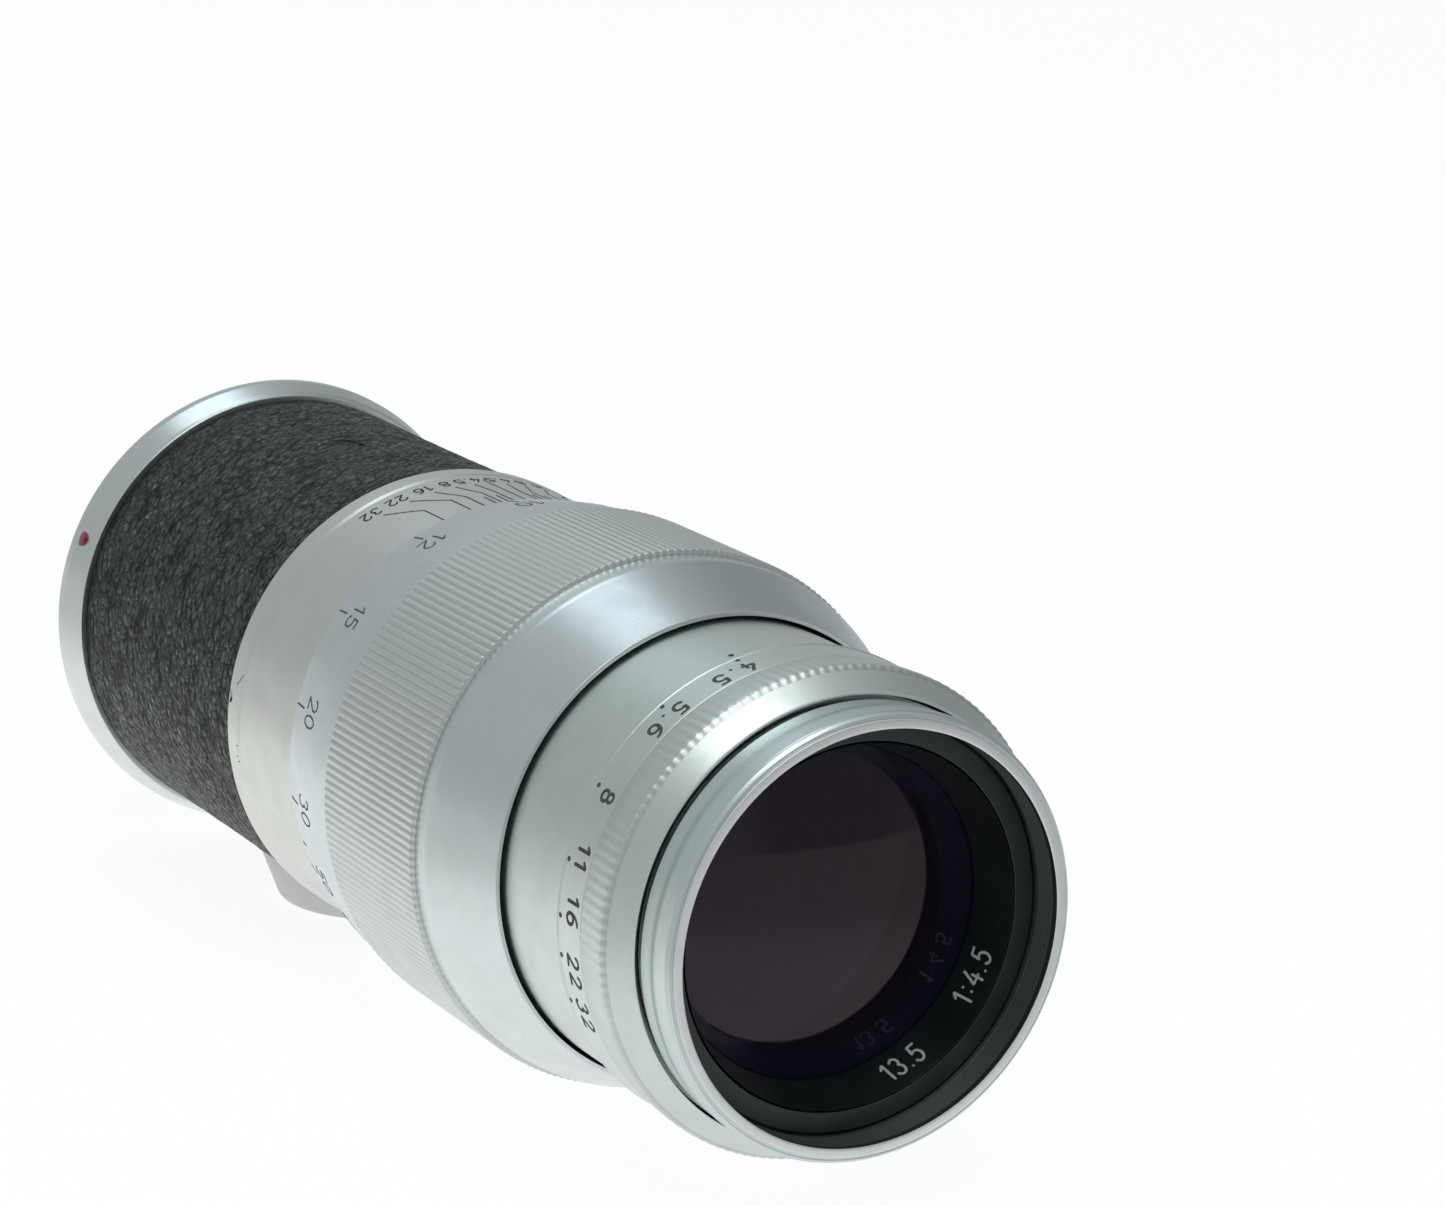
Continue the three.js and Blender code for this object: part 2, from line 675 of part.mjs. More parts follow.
const sleeveOfIrisRadius = cellRadius - 0.1;
const headBore = cellRadius + seatGap;
const headFront = rimRear + seatGap;
const driveFront = cellFlangeRear + faceGap;
const cellLength = 21.0;
const cellRear = rimFront + cellFace + cellLength;
const drivePlateFront = cellRear + faceGap;
const drivePlateRear = drivePlateFront + drivePlateThickness;
const bladeFront = drivePlateRear + runGap;
const irisPlateFront = bladeFront + bladeRise + bladeThickness + runGap;
const irisPlateRear = irisPlateFront + irisPlateThickness;
const headCounterboreFront = drivePlateFront - faceGap;

// Height of a blade's front face along its sweep, an S-curve steepest in the middle
function bladeFace(share) {
  const t = Math.min(Math.max(share, 0), 1);
  return bladeFront + bladeRise * (1 - t * t * (3 - 2 * t));
}

function irisBlade(first) {
  const steps = 8;
  const total = bladeSweep + 2 * bladeOverhang;
  const corners = [];
  for (let i = 0; i <= steps; i++) {
    const sweep = -bladeOverhang + total * i / steps;
    const end = Math.min(i, steps - i);
    const inset = end === 0 ? 0.3 : 0;
    const width = bladeOuterRadius - bladeInnerRadius;
    const face = bladeFace(sweep / bladeSweep);
    for (const radius of [bladeInnerRadius + width * inset, bladeOuterRadius - width * inset]) {
      const [x, z] = around(radius, first + sweep);
      corners.push(x, face, z, x, face + bladeThickness, z);
    }
  }
  const index = [];
  const quad = (a, b, c, d) => index.push(a, b, c, a, c, d);
  for (let i = 0; i < steps; i++) {
    const here = 4 * i;
    const next = here + 4;
    quad(here, next, next + 2, here + 2);
    quad(here + 1, here + 3, next + 3, next + 1);
    quad(here, here + 1, next + 1, next);
    quad(here + 2, next + 2, next + 3, here + 3);
  }
  const last = 4 * steps;
  quad(0, 2, 3, 1);
  quad(last, last + 1, last + 3, last + 2);
  const strip = new THREE.BufferGeometry();
  strip.setAttribute('position', new THREE.Float32BufferAttribute(corners, 3));
  strip.setIndex(index);
  const pivot = axialPin(bladePinRadius, bladeFace(0) + bladeThickness / 2, irisPlateRear - runGap,
    bladePivotRadius, first);
  const far = axialPin(bladePinRadius, drivePlateFront + runGap, bladeFace(1) + bladeThickness / 2,
    bladePivotRadius, first + bladeSweep);
  return join(strip, pivot, far);
}

for (let i = 0; i < bladeCount; i++) {
  const name = `iris_blade_${String(i + 1).padStart(2, '0')}`;
  add(name, irisBlade(360 * i / bladeCount), blackAnodised);
}

function irisPlate() {
  const disc = tube(openRadius, headCounterbore - seatGap, irisPlateFront, irisPlateRear);
  const holes = Array.from({ length: bladeCount }, (_, i) => axialPin(bladePinRadius + runGap,
    irisPlateFront - 1, irisPlateRear + 1, bladePivotRadius, 360 * i / bladeCount));
  return cut(disc, ...holes);
}
add('iris_plate', irisPlate(), blackAnodised);

// Link between the aperture ring and the drive ring
const linkRadius = 0.8;
const linkAngle = 180;
const linkInset = 2.2;
const linkStation = apertureRear - linkInset;

function irisDriveRing() {
  const body = ring([
    [sleeveOfIrisRadius - driveSleeveWall, driveFront], [sleeveOfIrisRadius, driveFront],
    [sleeveOfIrisRadius, drivePlateFront], [headCounterbore - runGap, drivePlateFront],
    [headCounterbore - runGap, drivePlateRear], [openRadius, drivePlateRear], [openRadius, drivePlateFront],
    [sleeveOfIrisRadius - driveSleeveWall, drivePlateFront],
  ], hiddenSides);
  const slots = Array.from({ length: bladeCount }, (_, i) => {
    const halfWidth = bladePinRadius + farPinPlay;
    const slot = box(-halfWidth, halfWidth, drivePlateFront - 1, drivePlateRear + 1,
      farPinNearest - bladePinRadius - runGap, bladePivotRadius + bladePinRadius + 2 * runGap);
    return slot.rotateY((360 * i / bladeCount + bladeSweep) * radian);
  });
  const linkHole = radialPin(linkRadius + seatGap, cellBodyRadius, headRadius, linkAngle, linkStation);
  return cut(body, linkHole, ...slots);
}
add('iris_drive_ring', irisDriveRing(), blackAnodised);

// Aperture ring, with a ribbed front edge
const apertureRibs = 145;
const apertureRibDepth = 0.27;
const apertureGripRise = 0.3;
const apertureGripRadius = apertureRingRadius + apertureGripRise;
const apertureGripLength = 4.6;
const apertureFaceDepth = 0.85;
const apertureBore = rimRadius + seatGap / 2;
const apertureSeatRadius = apertureBore - runGap;
const apertureFaceEdge = 0.1;
const apertureRearBevel = 0.2;
const linkBottom = sleeveOfIrisRadius - driveSleeveWall + seatGap;
const linkTop = apertureRingRadius - 0.5;

function apertureRing() {
  const gripFront = apertureFront + apertureFaceDepth;
  const gripRear = gripFront + apertureGripLength;
  const body = ring([
    [apertureBore, apertureFront], [apertureBore + apertureFaceEdge, apertureFront],
    [apertureRingRadius - apertureFaceEdge, gripFront], [apertureRingRadius, gripFront + gripSink],
    [apertureRingRadius, apertureRear - apertureRearBevel],
    [apertureRingRadius - apertureRearBevel, apertureRear], [apertureBore, apertureRear],
  ], shownSides);
  const gripInner = apertureRingRadius - gripSink;
  const grip = ribbedRing(apertureRibs, apertureGripRadius, apertureRibDepth, gripInner, gripFront, gripRear);
  const linkHole = radialPin(linkRadius + seatGap, headBore, linkTop + seatGap, linkAngle, linkStation);
  return cut(join(body, grip), linkHole);
}
add('aperture_ring', apertureRing(), satinChrome);
add('aperture_link_screw', radialPin(linkRadius, linkBottom, linkTop, linkAngle, linkStation), steel);

function headBarrel() {
  const body = ring([
    [headBore, headFront], [apertureSeatRadius, headFront], [apertureSeatRadius, headShoulder],
    [headRadius, headShoulder], [headRadius, headRear], [headCounterbore, headRear],
    [headCounterbore, headCounterboreFront], [headBore, headCounterboreFront],
  ], shownSides);
  const slotHalf = linkRadius + runGap;
  const slotEnd = slotHalf / apertureSeatRadius / radian + stopPlay;
  const slot = sector(headBore - 1, apertureSeatRadius + 1, linkAngle - slotEnd,
    linkAngle + apertureTurn + slotEnd, linkStation - slotHalf, linkStation + slotHalf);
  return cut(body, slot);
}
add('head_barrel', headBarrel(), satinChrome);

function helicoidCarrier() {
  const body = ring([
    [carrierBore, carrierFront], [headCounterbore - seatGap, carrierFront],
    [headCounterbore - seatGap, headRear + seatGap], [carrierRadius, headRear + seatGap],
    [carrierRadius, carrierRear], [carrierBore, carrierRear],
  ], hiddenSides);
  const slot = box(-railWidth / 2 - runGap, railWidth / 2 + runGap, railFront - travelBack - endPlay,
    carrierRear + 1, railBottom - runGap - 1, carrierRadius + 1);
  return cut(body, slot);
}
add('helicoid_carrier', helicoidCarrier(), brass);

const rimEdge = 0.55;
const rimGrooveWidth = 0.85;
const rimGrooveDepth = 0.7;

function frontRim() {
  const grooveFront = rimRear - rimGrooveWidth;
  const grooveRadius = rimRadius - rimGrooveDepth;
  const skirtBore = headBore + seatGap / 2;
  return ring([
    [filterThreadRadius, rimFront], [rimRadius - rimEdge, rimFront], [rimRadius, rimFront + rimEdge],
    [rimRadius, grooveFront], [grooveRadius, grooveFront], [grooveRadius, rimRear],
    [skirtBore, rimRear], [skirtBore, cellFlangeFront - seatGap],
    [filterThreadRadius, cellFlangeFront - seatGap],
  ], shownSides);
}
add('front_rim', frontRim(), satinChrome);

add('name_ring', ring([
  [nameRingRadius - 0.05, rimFront + cellFace], [nameRingRadius, rimFront + cellFace + 0.2],
  [nameRingRadius, nameRingRear], [nameRingBore, nameRingRear],
], fixedSides), blackAnodised);

// A glass element between two spheres: a positive curve bulges forward.
function element(radius, edgeFront, edgeRear, frontCurve, rearCurve) {
  const face = (curve, edge, steps = 2) => {
    const sagitta = (r) => curve - Math.sign(curve) * Math.sqrt(curve * curve - r * r);
    return Array.from({ length: steps + 1 }, (_, i) => {
      const r = radius * i / steps;
      return [r, edge + sagitta(r) - sagitta(radius)];
    });
  };
  const outline = [...face(frontCurve, edgeFront), ...face(rearCurve, edgeRear).reverse()];
  return turned(outline, glassSides);
}

const frontElementStep = 0.9;
const frontElementRadius = nameRingRadius - frontElementStep;
const frontElementEdge = 3.5;
const frontSeatWidth = 1.6;
const frontSeatRadius = frontElementRadius - frontSeatWidth;
const frontElementFront = nameRingRear + faceGap;
const frontElementRear = frontElementFront + frontElementEdge;
const firstCurve = 46;
const secondCurve = 300;
add('front_element', element(frontElementRadius, frontElementFront, frontElementRear, firstCurve, secondCurve),
  coatedGlass);

const doubletStepIn = 1.1;
const doubletRadius = frontElementRadius - doubletStepIn;
const doubletSeatLength = 4.2;
const doubletFrontEdge = 4.4;
const doubletRearEdge = 1.8;
const doubletRetainerWidth = 1.3;
const cementGap = 0.05;
const doubletStep = frontElementRear + seatGap + doubletSeatLength;
const doubletFrontFace = doubletStep + seatGap;
const cementFace = doubletFrontFace + doubletFrontEdge;
const doubletRearFace = cementFace + doubletRearEdge;
const thirdCurve = 70;
const cementCurve = 60;
const fourthCurve = 52;
add('doublet_front', element(doubletRadius, doubletFrontFace, cementFace, -thirdCurve, cementCurve), coatedGlass);
add('doublet_rear', element(doubletRadius, cementFace + cementGap, doubletRearFace, cementCurve, fourthCurve),
  coatedGlass);
add('doublet_retainer', tube(doubletRadius - doubletRetainerWidth, doubletRadius, doubletRearFace + seatGap,
  cellRear - seatGap, fixedSides), blackAnodised);

function frontCell() {
  const frontSeat = frontElementRear + seatGap;
  const nameRingSeat = nameRingRear + seatGap / 2;
  return ring([
    [nameRingRadius + seatGap, rimFront + cellFace], [cellNoseRadius, rimFront + cellFace],
    [cellNoseRadius, cellFlangeFront], [cellRadius, cellFlangeFront], [cellRadius, cellFlangeRear],
    [cellBodyRadius, cellFlangeRear], [cellBodyRadius, cellRear], [doubletRadius + seatGap, cellRear],
    [doubletRadius + seatGap, doubletStep], [frontSeatRadius, doubletStep], [frontSeatRadius, frontSeat],
    [frontElementRadius + seatGap, frontSeat], [frontElementRadius + seatGap, nameRingSeat],
    [nameRingRadius + seatGap, nameRingSeat],
  ], fixedSides);
}
add('front_cell', frontCell(), blackAnodised);

const rearElementStep = 1.1;
const rearElementRadius = doubletRadius - rearElementStep;
const rearElementEdge = 2.4;
const rearCellFlange = 2.8;
const rearCellLength = 9.5;
const rearCellWall = 3.0;
const rearSeatDepth = 4.3;
const rearSeatWidth = 0.6;
const rearRetainerWidth = 1.2;
const rearRetainerLength = 1.4;
const rearCellFront = irisPlateRear + runGap;
const rearSeat = rearCellFront + rearSeatDepth;
const rearElementFront = rearSeat + faceGap;
const rearElementRear = rearElementFront + rearElementEdge;
const rearRetainerFront = rearElementRear + cutGap;
const fifthCurve = 80;
const lastCurve = 46;
add('rear_element', element(rearElementRadius, rearElementFront, rearElementRear, fifthCurve, -lastCurve),
  coatedGlass);
add('rear_retainer', tube(rearElementRadius - rearRetainerWidth, rearElementRadius, rearRetainerFront,
  rearRetainerFront + rearRetainerLength, fixedSides), blackAnodised);

function rearCell() {
  const flangeRear = rearCellFront + rearCellFlange;
  const rear = rearCellFront + rearCellLength;
  const outer = rearElementRadius + rearCellWall;
  const seatBore = rearElementRadius - rearSeatWidth;
  return ring([
    [seatBore, rearCellFront], [headCounterbore - seatGap, rearCellFront],
    [headCounterbore - seatGap, flangeRear], [outer, flangeRear], [outer, rear],
    [rearElementRadius + seatGap, rear], [rearElementRadius + seatGap, rearSeat], [seatBore, rearSeat],
  ], fixedSides);
}
add('rear_cell', rearCell(), blackAnodised);

const baffleWidth = 3.6;
const baffleThickness = 1.5;
const baffleStation = 20;
const baffleRadius = carrierBore - seatGap;
const baffleFront = carrierFront + baffleStation;
const baffleRear = baffleFront + baffleThickness;
add('light_baffle', tube(baffleRadius - baffleWidth, baffleRadius, baffleFront, baffleRear), blackAnodised);

export default lens;
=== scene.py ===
import bmesh
import bpy
import numpy as np
from mathutils import Matrix, Vector


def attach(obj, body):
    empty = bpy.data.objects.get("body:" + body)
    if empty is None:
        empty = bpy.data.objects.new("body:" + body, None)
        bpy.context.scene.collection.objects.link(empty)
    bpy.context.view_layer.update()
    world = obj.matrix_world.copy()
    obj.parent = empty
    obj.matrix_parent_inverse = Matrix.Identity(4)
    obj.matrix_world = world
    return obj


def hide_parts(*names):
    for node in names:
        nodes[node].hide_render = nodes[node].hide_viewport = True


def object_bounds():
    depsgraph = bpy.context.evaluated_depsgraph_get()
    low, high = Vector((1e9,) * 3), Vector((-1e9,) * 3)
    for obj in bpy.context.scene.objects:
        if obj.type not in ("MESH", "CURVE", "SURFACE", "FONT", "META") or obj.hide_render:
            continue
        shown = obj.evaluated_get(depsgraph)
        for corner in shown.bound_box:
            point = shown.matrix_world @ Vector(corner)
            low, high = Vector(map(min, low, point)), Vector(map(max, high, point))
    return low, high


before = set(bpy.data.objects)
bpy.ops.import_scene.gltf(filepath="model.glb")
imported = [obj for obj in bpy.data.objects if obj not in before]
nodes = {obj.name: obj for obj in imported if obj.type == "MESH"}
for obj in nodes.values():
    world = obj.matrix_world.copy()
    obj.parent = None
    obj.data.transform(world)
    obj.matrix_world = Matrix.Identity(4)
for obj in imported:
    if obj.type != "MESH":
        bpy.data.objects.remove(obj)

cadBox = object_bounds()

# The optical axis is Y, the front looks to -Y and the bayonet's bearing face is y = 0.
# Shapes are written in millimetres and made metres when they become a mesh.
mm = 0.001

cameraView = {
    "place": (-0.194774, -0.431929, 0.106057),
    "right": (0.86644637, -0.49161586, 0.08708928),
    "up": (0.03059784, 0.2263915, 0.97355568),
    "lens": 103.306, "sensor": 36, "clip": (0.01, 50),
}


def addObject(name, data):
    made = bpy.data.objects.new(name, data)
    bpy.context.scene.collection.objects.link(made)
    return made


def makeCamera(view):
    # its axes are the image's right and up, and right x up towards the viewer
    data = bpy.data.cameras.new("camera")
    data.sensor_width, data.lens = view["sensor"], view["lens"]
    data.clip_start, data.clip_end = view["clip"]
    camera = addObject("camera", data)
    right, up = Vector(view["right"]), Vector(view["up"])
    turn = Matrix((right, up, right.cross(up))).transposed()
    camera.matrix_world = Matrix.Translation(view["place"]) @ turn.to_4x4()
    bpy.context.scene.camera = camera


makeCamera(cameraView)
bpy.context.scene.view_settings.view_transform = "Standard"
print("camera placed")


class Link:
    # one socket of a material's tree, so that sums on it add Math nodes

    def __init__(self, tree, socket=None):
        self.tree, self.socket = tree, socket

    def node(self, kind, inputs=None, output=0, **settings):
        made = self.tree.nodes.new("ShaderNode" + kind)
        for name, value in settings.items():
            setattr(made, name, value)
        for name, value in (inputs or {}).items():
            if isinstance(value, Link):
                self.tree.links.new(value.socket, made.inputs[name])
            else:
                made.inputs[name].default_value = value
        return Link(self.tree, made.outputs[output]) if len(made.outputs) else None

    def math(self, operation, *others):
        inputs = dict(enumerate((self, *others)))
        return self.node("Math", inputs, operation=operation)

    def __add__(self, other): return self.math("ADD", other)
    def __mul__(self, other): return self.math("MULTIPLY", other)
    def __sub__(self, other): return self.math("SUBTRACT", other)
    def __rsub__(self, other): return (self * -1) + other
    def __truediv__(self, other): return self.math("DIVIDE", other)
    __radd__, __rmul__ = __add__, __mul__

    def clamp(self): return self.math("MINIMUM", 1.0).math("MAXIMUM", 0.0)

    def step(self, low, high):
        # 0 below low and 1 above high, straight between them
        return ((self - low) / (high - low)).clamp()

    def blend(self, dark, light):
        # dark where this is 0 and light where it is 1; a Mix node's colours are sockets 6 and 7
        colours = {0: self, 6: dark if isinstance(dark, Link) else (*dark, 1),
                   7: light if isinstance(light, Link) else (*light, 1)}
        return self.node("Mix", colours, output=2, data_type="RGBA")

    def noise(self, scale, detail=3.0, squeeze=(1, 1, 1), rough=0.5):
        # noise whose cells a squeeze above 1 makes shorter along that axis
        spread = self.node("Mapping", {"Vector": self, "Scale": squeeze})
        return spread.node("TexNoise",
                           {"Vector": spread, "Scale": scale, "Detail": detail, "Roughness": rough})


def emptyTree(owner, coordinates="Object"):
    # a cleared material or world, as its coordinates
    owner.use_nodes = True
    owner.node_tree.nodes.clear()
    return Link(owner.node_tree).node("TexCoord", output=coordinates)


def newFinish(name, principled, varying, under=None):
    # principled holds a shader's constants, varying(place) gives what changes over it, and where its
    # "crease" is 1 the shader with the constants under shows instead, as painted shade in the leather's
    # creases
    material = bpy.data.materials.new(name)
    place = emptyTree(material)
    changing = varying(place)
    crease = changing.pop("crease", None)
    shader = place.node("BsdfPrincipled", {**principled, **changing})
    if under:
        lower = place.node("BsdfPrincipled", under)
        shader = place.node("MixShader", {0: crease, 1: shader, 2: lower})
    place.node("OutputMaterial", {"Surface": shader})
    return material


def axes(place):
    return [place.node("SeparateXYZ", {0: place}, output=k) for k in range(3)]


def aroundAxis(place):
    # root(x^2 + z^2), the radius from the optical axis, and y, both in millimetres
    x, y, z = axes(place)
    return (x * x + z * z).math("SQRT") * 1000, y * 1000


def bump(height, strength, distance):
    return height.node("Bump", {"Height": height, "Strength": strength, "Distance": distance})


turningRelief = 0.00002  # height of the lathe's marks, in metres


def turningRings(radius, along, scale, detail):
    # noise on radius + y, so that tubes and faces both show rings
    return along.node("TexNoise", {"W": along + radius, "Scale": scale, "Detail": detail},
                      noise_dimensions="1D")


sheen = {
    # stains, specks and grain per metre, and lathe rings per millimetre
    "stainScale": 260, "speckScale": 1500, "grainScale": 7000, "turningScale": 5.2,
    # the noise at which a stain or speck begins and is full, and the light that it takes
    "stain": (0.35, 0.7), "stainDepth": 0.05, "speck": (0.16, 0.24), "speckDepth": 0.22,
}


def satinChrome(name, tint, roughness, turning=0.10, grain=0.12, grip=None):
    # tint * (1 - stains - specks) over rings and grain; grip is (radius of the crests, depth, light lost)
    # for painted shade that darkens the grooves between the ribs
    def varying(place):
        radius, along = aroundAxis(place)
        cloud = place.noise(sheen["stainScale"], 4, rough=0.6)
        fine = place.noise(sheen["grainScale"], 2)
        rings = turningRings(radius, along, sheen["turningScale"], 2.0)
        specks = 1 - place.noise(sheen["speckScale"], 2).step(*sheen["speck"])
        dull = cloud.step(*sheen["stain"]) * sheen["stainDepth"]
        shade = 1 - dull - specks * sheen["speckDepth"]
        if grip:
            crest, deep, loss = grip
            # painted shade: darker towards the bottom of each groove between the ribs
            shade = shade * (1 - (crest - radius).step(deep * 0.2, deep) * loss)
        return {"Base Color": shade.blend((0, 0, 0), tint),
                "Roughness": roughness + dull * 1.2 + fine * 0.05 - 0.025,
                "Normal": bump(rings * turning + fine * grain, 0.35, turningRelief)}
    return newFinish(name, {"Metallic": 1.0}, varying)


def mottled(name, constants, dark, light, spots, roughness, rings=None):
    # one noise, spots = (scale, detail, from, to), carries the colour from dark to light and the roughness
    # from its first value up by its second
    def varying(place):
        scale, detail, low, high = spots
        share = place.noise(scale, detail).step(low, high)
        changing = {"Base Color": share.blend(dark, light), "Roughness": roughness[0] + share * roughness[1]}
        if rings:
            changing["Normal"] = bump(turningRings(*aroundAxis(place), rings, 3.0), 0.3, turningRelief)
        return changing
    return newFinish(name, constants, varying)


metal = {"Metallic": 1.0}
satin = {"Specular IOR Level": 0.5}
fill = {"Specular IOR Level": 0.3}
enamel = {"Coat Weight": 0.5, "Coat Roughness": 0.15}
finishes = {
    "scaleChrome": satinChrome("scale_chrome", (0.75, 0.78, 0.735), 0.33),
    "gripChrome": satinChrome("grip_chrome", (0.735, 0.797, 0.8), 0.27, grain=0.5),
    # the two ribbed finishes below darken their grooves with painted shade
    "focusRibs": satinChrome("focus_rib_chrome", (0.73, 0.785, 0.75), 0.36, grain=0.2,
                             grip=(27.0, 0.08, 0.16)),
    "apertureRibs": satinChrome("aperture_rib_chrome", (0.7, 0.765, 0.735), 0.36,
                                grip=(23.38, 0.3, 0.14)),
    "numberChrome": satinChrome("number_chrome", (0.73, 0.8, 0.81), 0.3),
    "headChrome": satinChrome("head_chrome", (0.72, 0.8, 0.765), 0.34),
    "flangeChrome": satinChrome("flange_chrome", (0.74, 0.8, 0.785), 0.26, turning=0.2, grain=0.4),
    "rimChrome": satinChrome("rim_chrome", (0.715, 0.8, 0.79), 0.27, turning=0.05, grain=0.05),
    "lipChrome": satinChrome("lip_chrome", (0.83, 0.85, 0.855), 0.46, turning=0.03, grain=0.05),
    "footChrome": satinChrome("foot_chrome", (0.54, 0.56, 0.535), 0.42),
    "brass": mottled("turned_brass", metal, (0.66, 0.5, 0.25), (0.42, 0.29, 0.13),
                     (180, 4, 0.4, 0.75), (0.26, 0.2), rings=4.0),
    "steel": mottled("turned_steel", metal, (0.52, 0.53, 0.54), (0.36, 0.36, 0.37),
                     (300, 3, 0.4, 0.7), (0.28, 0.15), rings=6.0),
    "blade": mottled("blade_steel", {"Metallic": 0.6}, (0.018, 0.02, 0.022), (0.045, 0.048, 0.052),
                     (400, 3, 0.35, 0.75), (0.34, 0.1)),
    "glossBlack": mottled("gloss_black", {"Specular IOR Level": 0.6}, (0.004, 0.009, 0.008),
                          (0.008, 0.015, 0.0135), (120, 3, 0.35, 0.7), (0.2, 0.1)),
    "well": mottled("well_paint", satin, (0.018, 0.03, 0.028), (0.028, 0.043, 0.04),
                    (150, 3, 0.35, 0.7), (0.42, 0.1)),  # the satin wall inside the rim
    "red": mottled("red_enamel", enamel, (0.22, 0.006, 0.012), (0.34, 0.016, 0.024),
                   (1500, 2, 0.0, 1.0), (0.28, 0.1)),
    "ink": mottled("engraved_ink", fill, (0.016, 0.018, 0.019), (0.05, 0.053, 0.054),
                   (5200, 2, 0.3, 0.8), (0.55, 0.2)),
    "wornInk": mottled("worn_ink", fill, (0.035, 0.038, 0.038), (0.15, 0.155, 0.15),
                       (2600, 3, 0.3, 0.75), (0.55, 0.2)),  # the thin grey paint left in the numbers
    "white": mottled("white_fill", fill, (0.56, 0.6, 0.59), (0.4, 0.44, 0.43),
                     (5200, 2, 0.3, 0.8), (0.5, 0.2)),
}


def dustyBlack(place):
    # patches of two blacks with a little pale dust on them
    dust = place.noise(900, 2).step(0.7, 0.76)
    patch = place.noise(120, 3).step(0.35, 0.7)
    colour = dust.blend(patch.blend((0.01, 0.012, 0.012), (0.017, 0.021, 0.02)), (0.1, 0.105, 0.1))
    return {"Base Color": colour, "Roughness": 0.36 + patch * 0.12}


finishes["black"] = newFinish("black_paint", satin, dustyBlack)

cover = {
    "front": -46.7, "length": 41.8,
    "radius": 24.5, "waist": 0.16,  # at both ends, and how much less in the middle
    "bare": 23.9, "edge": 24.44,  # the tube under the leather, and the leather's rounded edge
}
leatherFolds = {
    "sides": 440, "stations": 25, "waves": 90, "seed": 5,
    "cell": 1.75,  # millimetres from one crease to the next
    "stretch": 0.55,  # below 1 the creases run further round than along
    "width": 0.45, "sink": 0.095, "swell": 0.02,
}
leatherGrain = {
    "pebbleScale": 900, "wrinkleScale": 420,  # per metre
    "bend": 0.0012, "depth": 0.00026,  # how far noise bends the pebbles, and their height, in metres
    "crease": (0.0, 0.13), "furrow": 0.045,  # half widths of the creases and of the wrinkles, which the leather darkens with painted shade
    "sunkShade": (0.04, 0.11),  # how deep, in millimetres, the mesh's creases sink from the first to the full painted shade
    "speck": (0.64, 0.7),
    # base colours from the shaded creases to the crests lit as a painted highlight, and the painted glints'
    # colour
    "dark": (0.006, 0.011, 0.0105), "light": (0.084, 0.106, 0.102), "paintedGlint": (0.3, 0.33, 0.34),
}


def leather(place):
    # Pebbles are Voronoi cells bent by noise, each with its own lightness, and lighter on their crests as a
    # painted highlight. Painted shade darkens the creases between them, along longer wrinkles, and where the
    # mesh sinks under its waisted round, and bright specks on the crests are painted glints.
    grain = leatherGrain
    bent = place.node("VectorMath", {0: place, 1: place.noise(700, 2) * grain["bend"]},
                      operation="ADD")
    cells = {"Vector": bent, "Scale": grain["pebbleScale"]}
    edge = place.node("TexVoronoi", cells, feature="DISTANCE_TO_EDGE")
    own = place.node("TexVoronoi", cells, output="Color")
    long = place.noise(grain["wrinkleScale"], 4, squeeze=(1, 2.2, 1), rough=0.65)
    furrow = 1 - (long - 0.5).math("ABSOLUTE").step(0.0, grain["furrow"])
    fine = place.noise(3600, 3)
    radius, along = aroundAxis(place)
    arc = ((along - cover["front"]) * (np.pi / cover["length"])).math("SINE")
    # painted shade where the mesh sinks below the waisted round
    sunkShade = (cover["radius"] - arc * cover["waist"] - radius).step(*grain["sunkShade"])
    # painted shade mask: where it is 1 the matt black under shader shows, in the creases and wrinkles
    crease = (1 - edge.step(*grain["crease"])) * (0.35 + long.step(0.35, 0.6) * 0.5) + sunkShade * 0.7
    crest = edge.step(0.05, 0.4)
    height = crest + fine * 0.25 + long.step(0.3, 0.7) * 0.6 - furrow * 0.4
    # painted highlight: crests lighter, scaled by each cell's own tone and by the long wrinkles
    top = crest * (0.2 + own.step(0.1, 0.9) * 0.8) * (0.3 + long.step(0.4, 0.6) * 0.7)
    colour = (top * (1 - sunkShade * 0.8)).blend(grain["dark"], grain["light"])
    # painted glints: bright specks on the crests
    specks = place.noise(1900, 1).step(*grain["speck"]) * crest
    return {"Base Color": (specks * 0.8).blend(colour, grain["paintedGlint"]),
            "Roughness": 0.46 - crest * 0.22,
            "crease": (crease + furrow * 0.4).clamp(),
            "Normal": bump(height, 1.0, grain["depth"])}


# under is the matt near-black of the painted shade in the creases
finishes["leather"] = newFinish(
    "grained_leather", {"Specular IOR Level": 1.0, "Specular Tint": (0.84, 1.0, 0.97, 1)}, leather,
    under={"Base Color": (0.002, 0.004, 0.0035, 1), "Roughness": 0.6, "Specular IOR Level": 0.3})

# edge is the painted violet reflection of the coating, and fade the radii in millimetres over which it comes
# in
glassCoat = {"edge": (0.014, 0.009, 0.034), "fade": (11.0, 14.5), "scratch": 0.004}


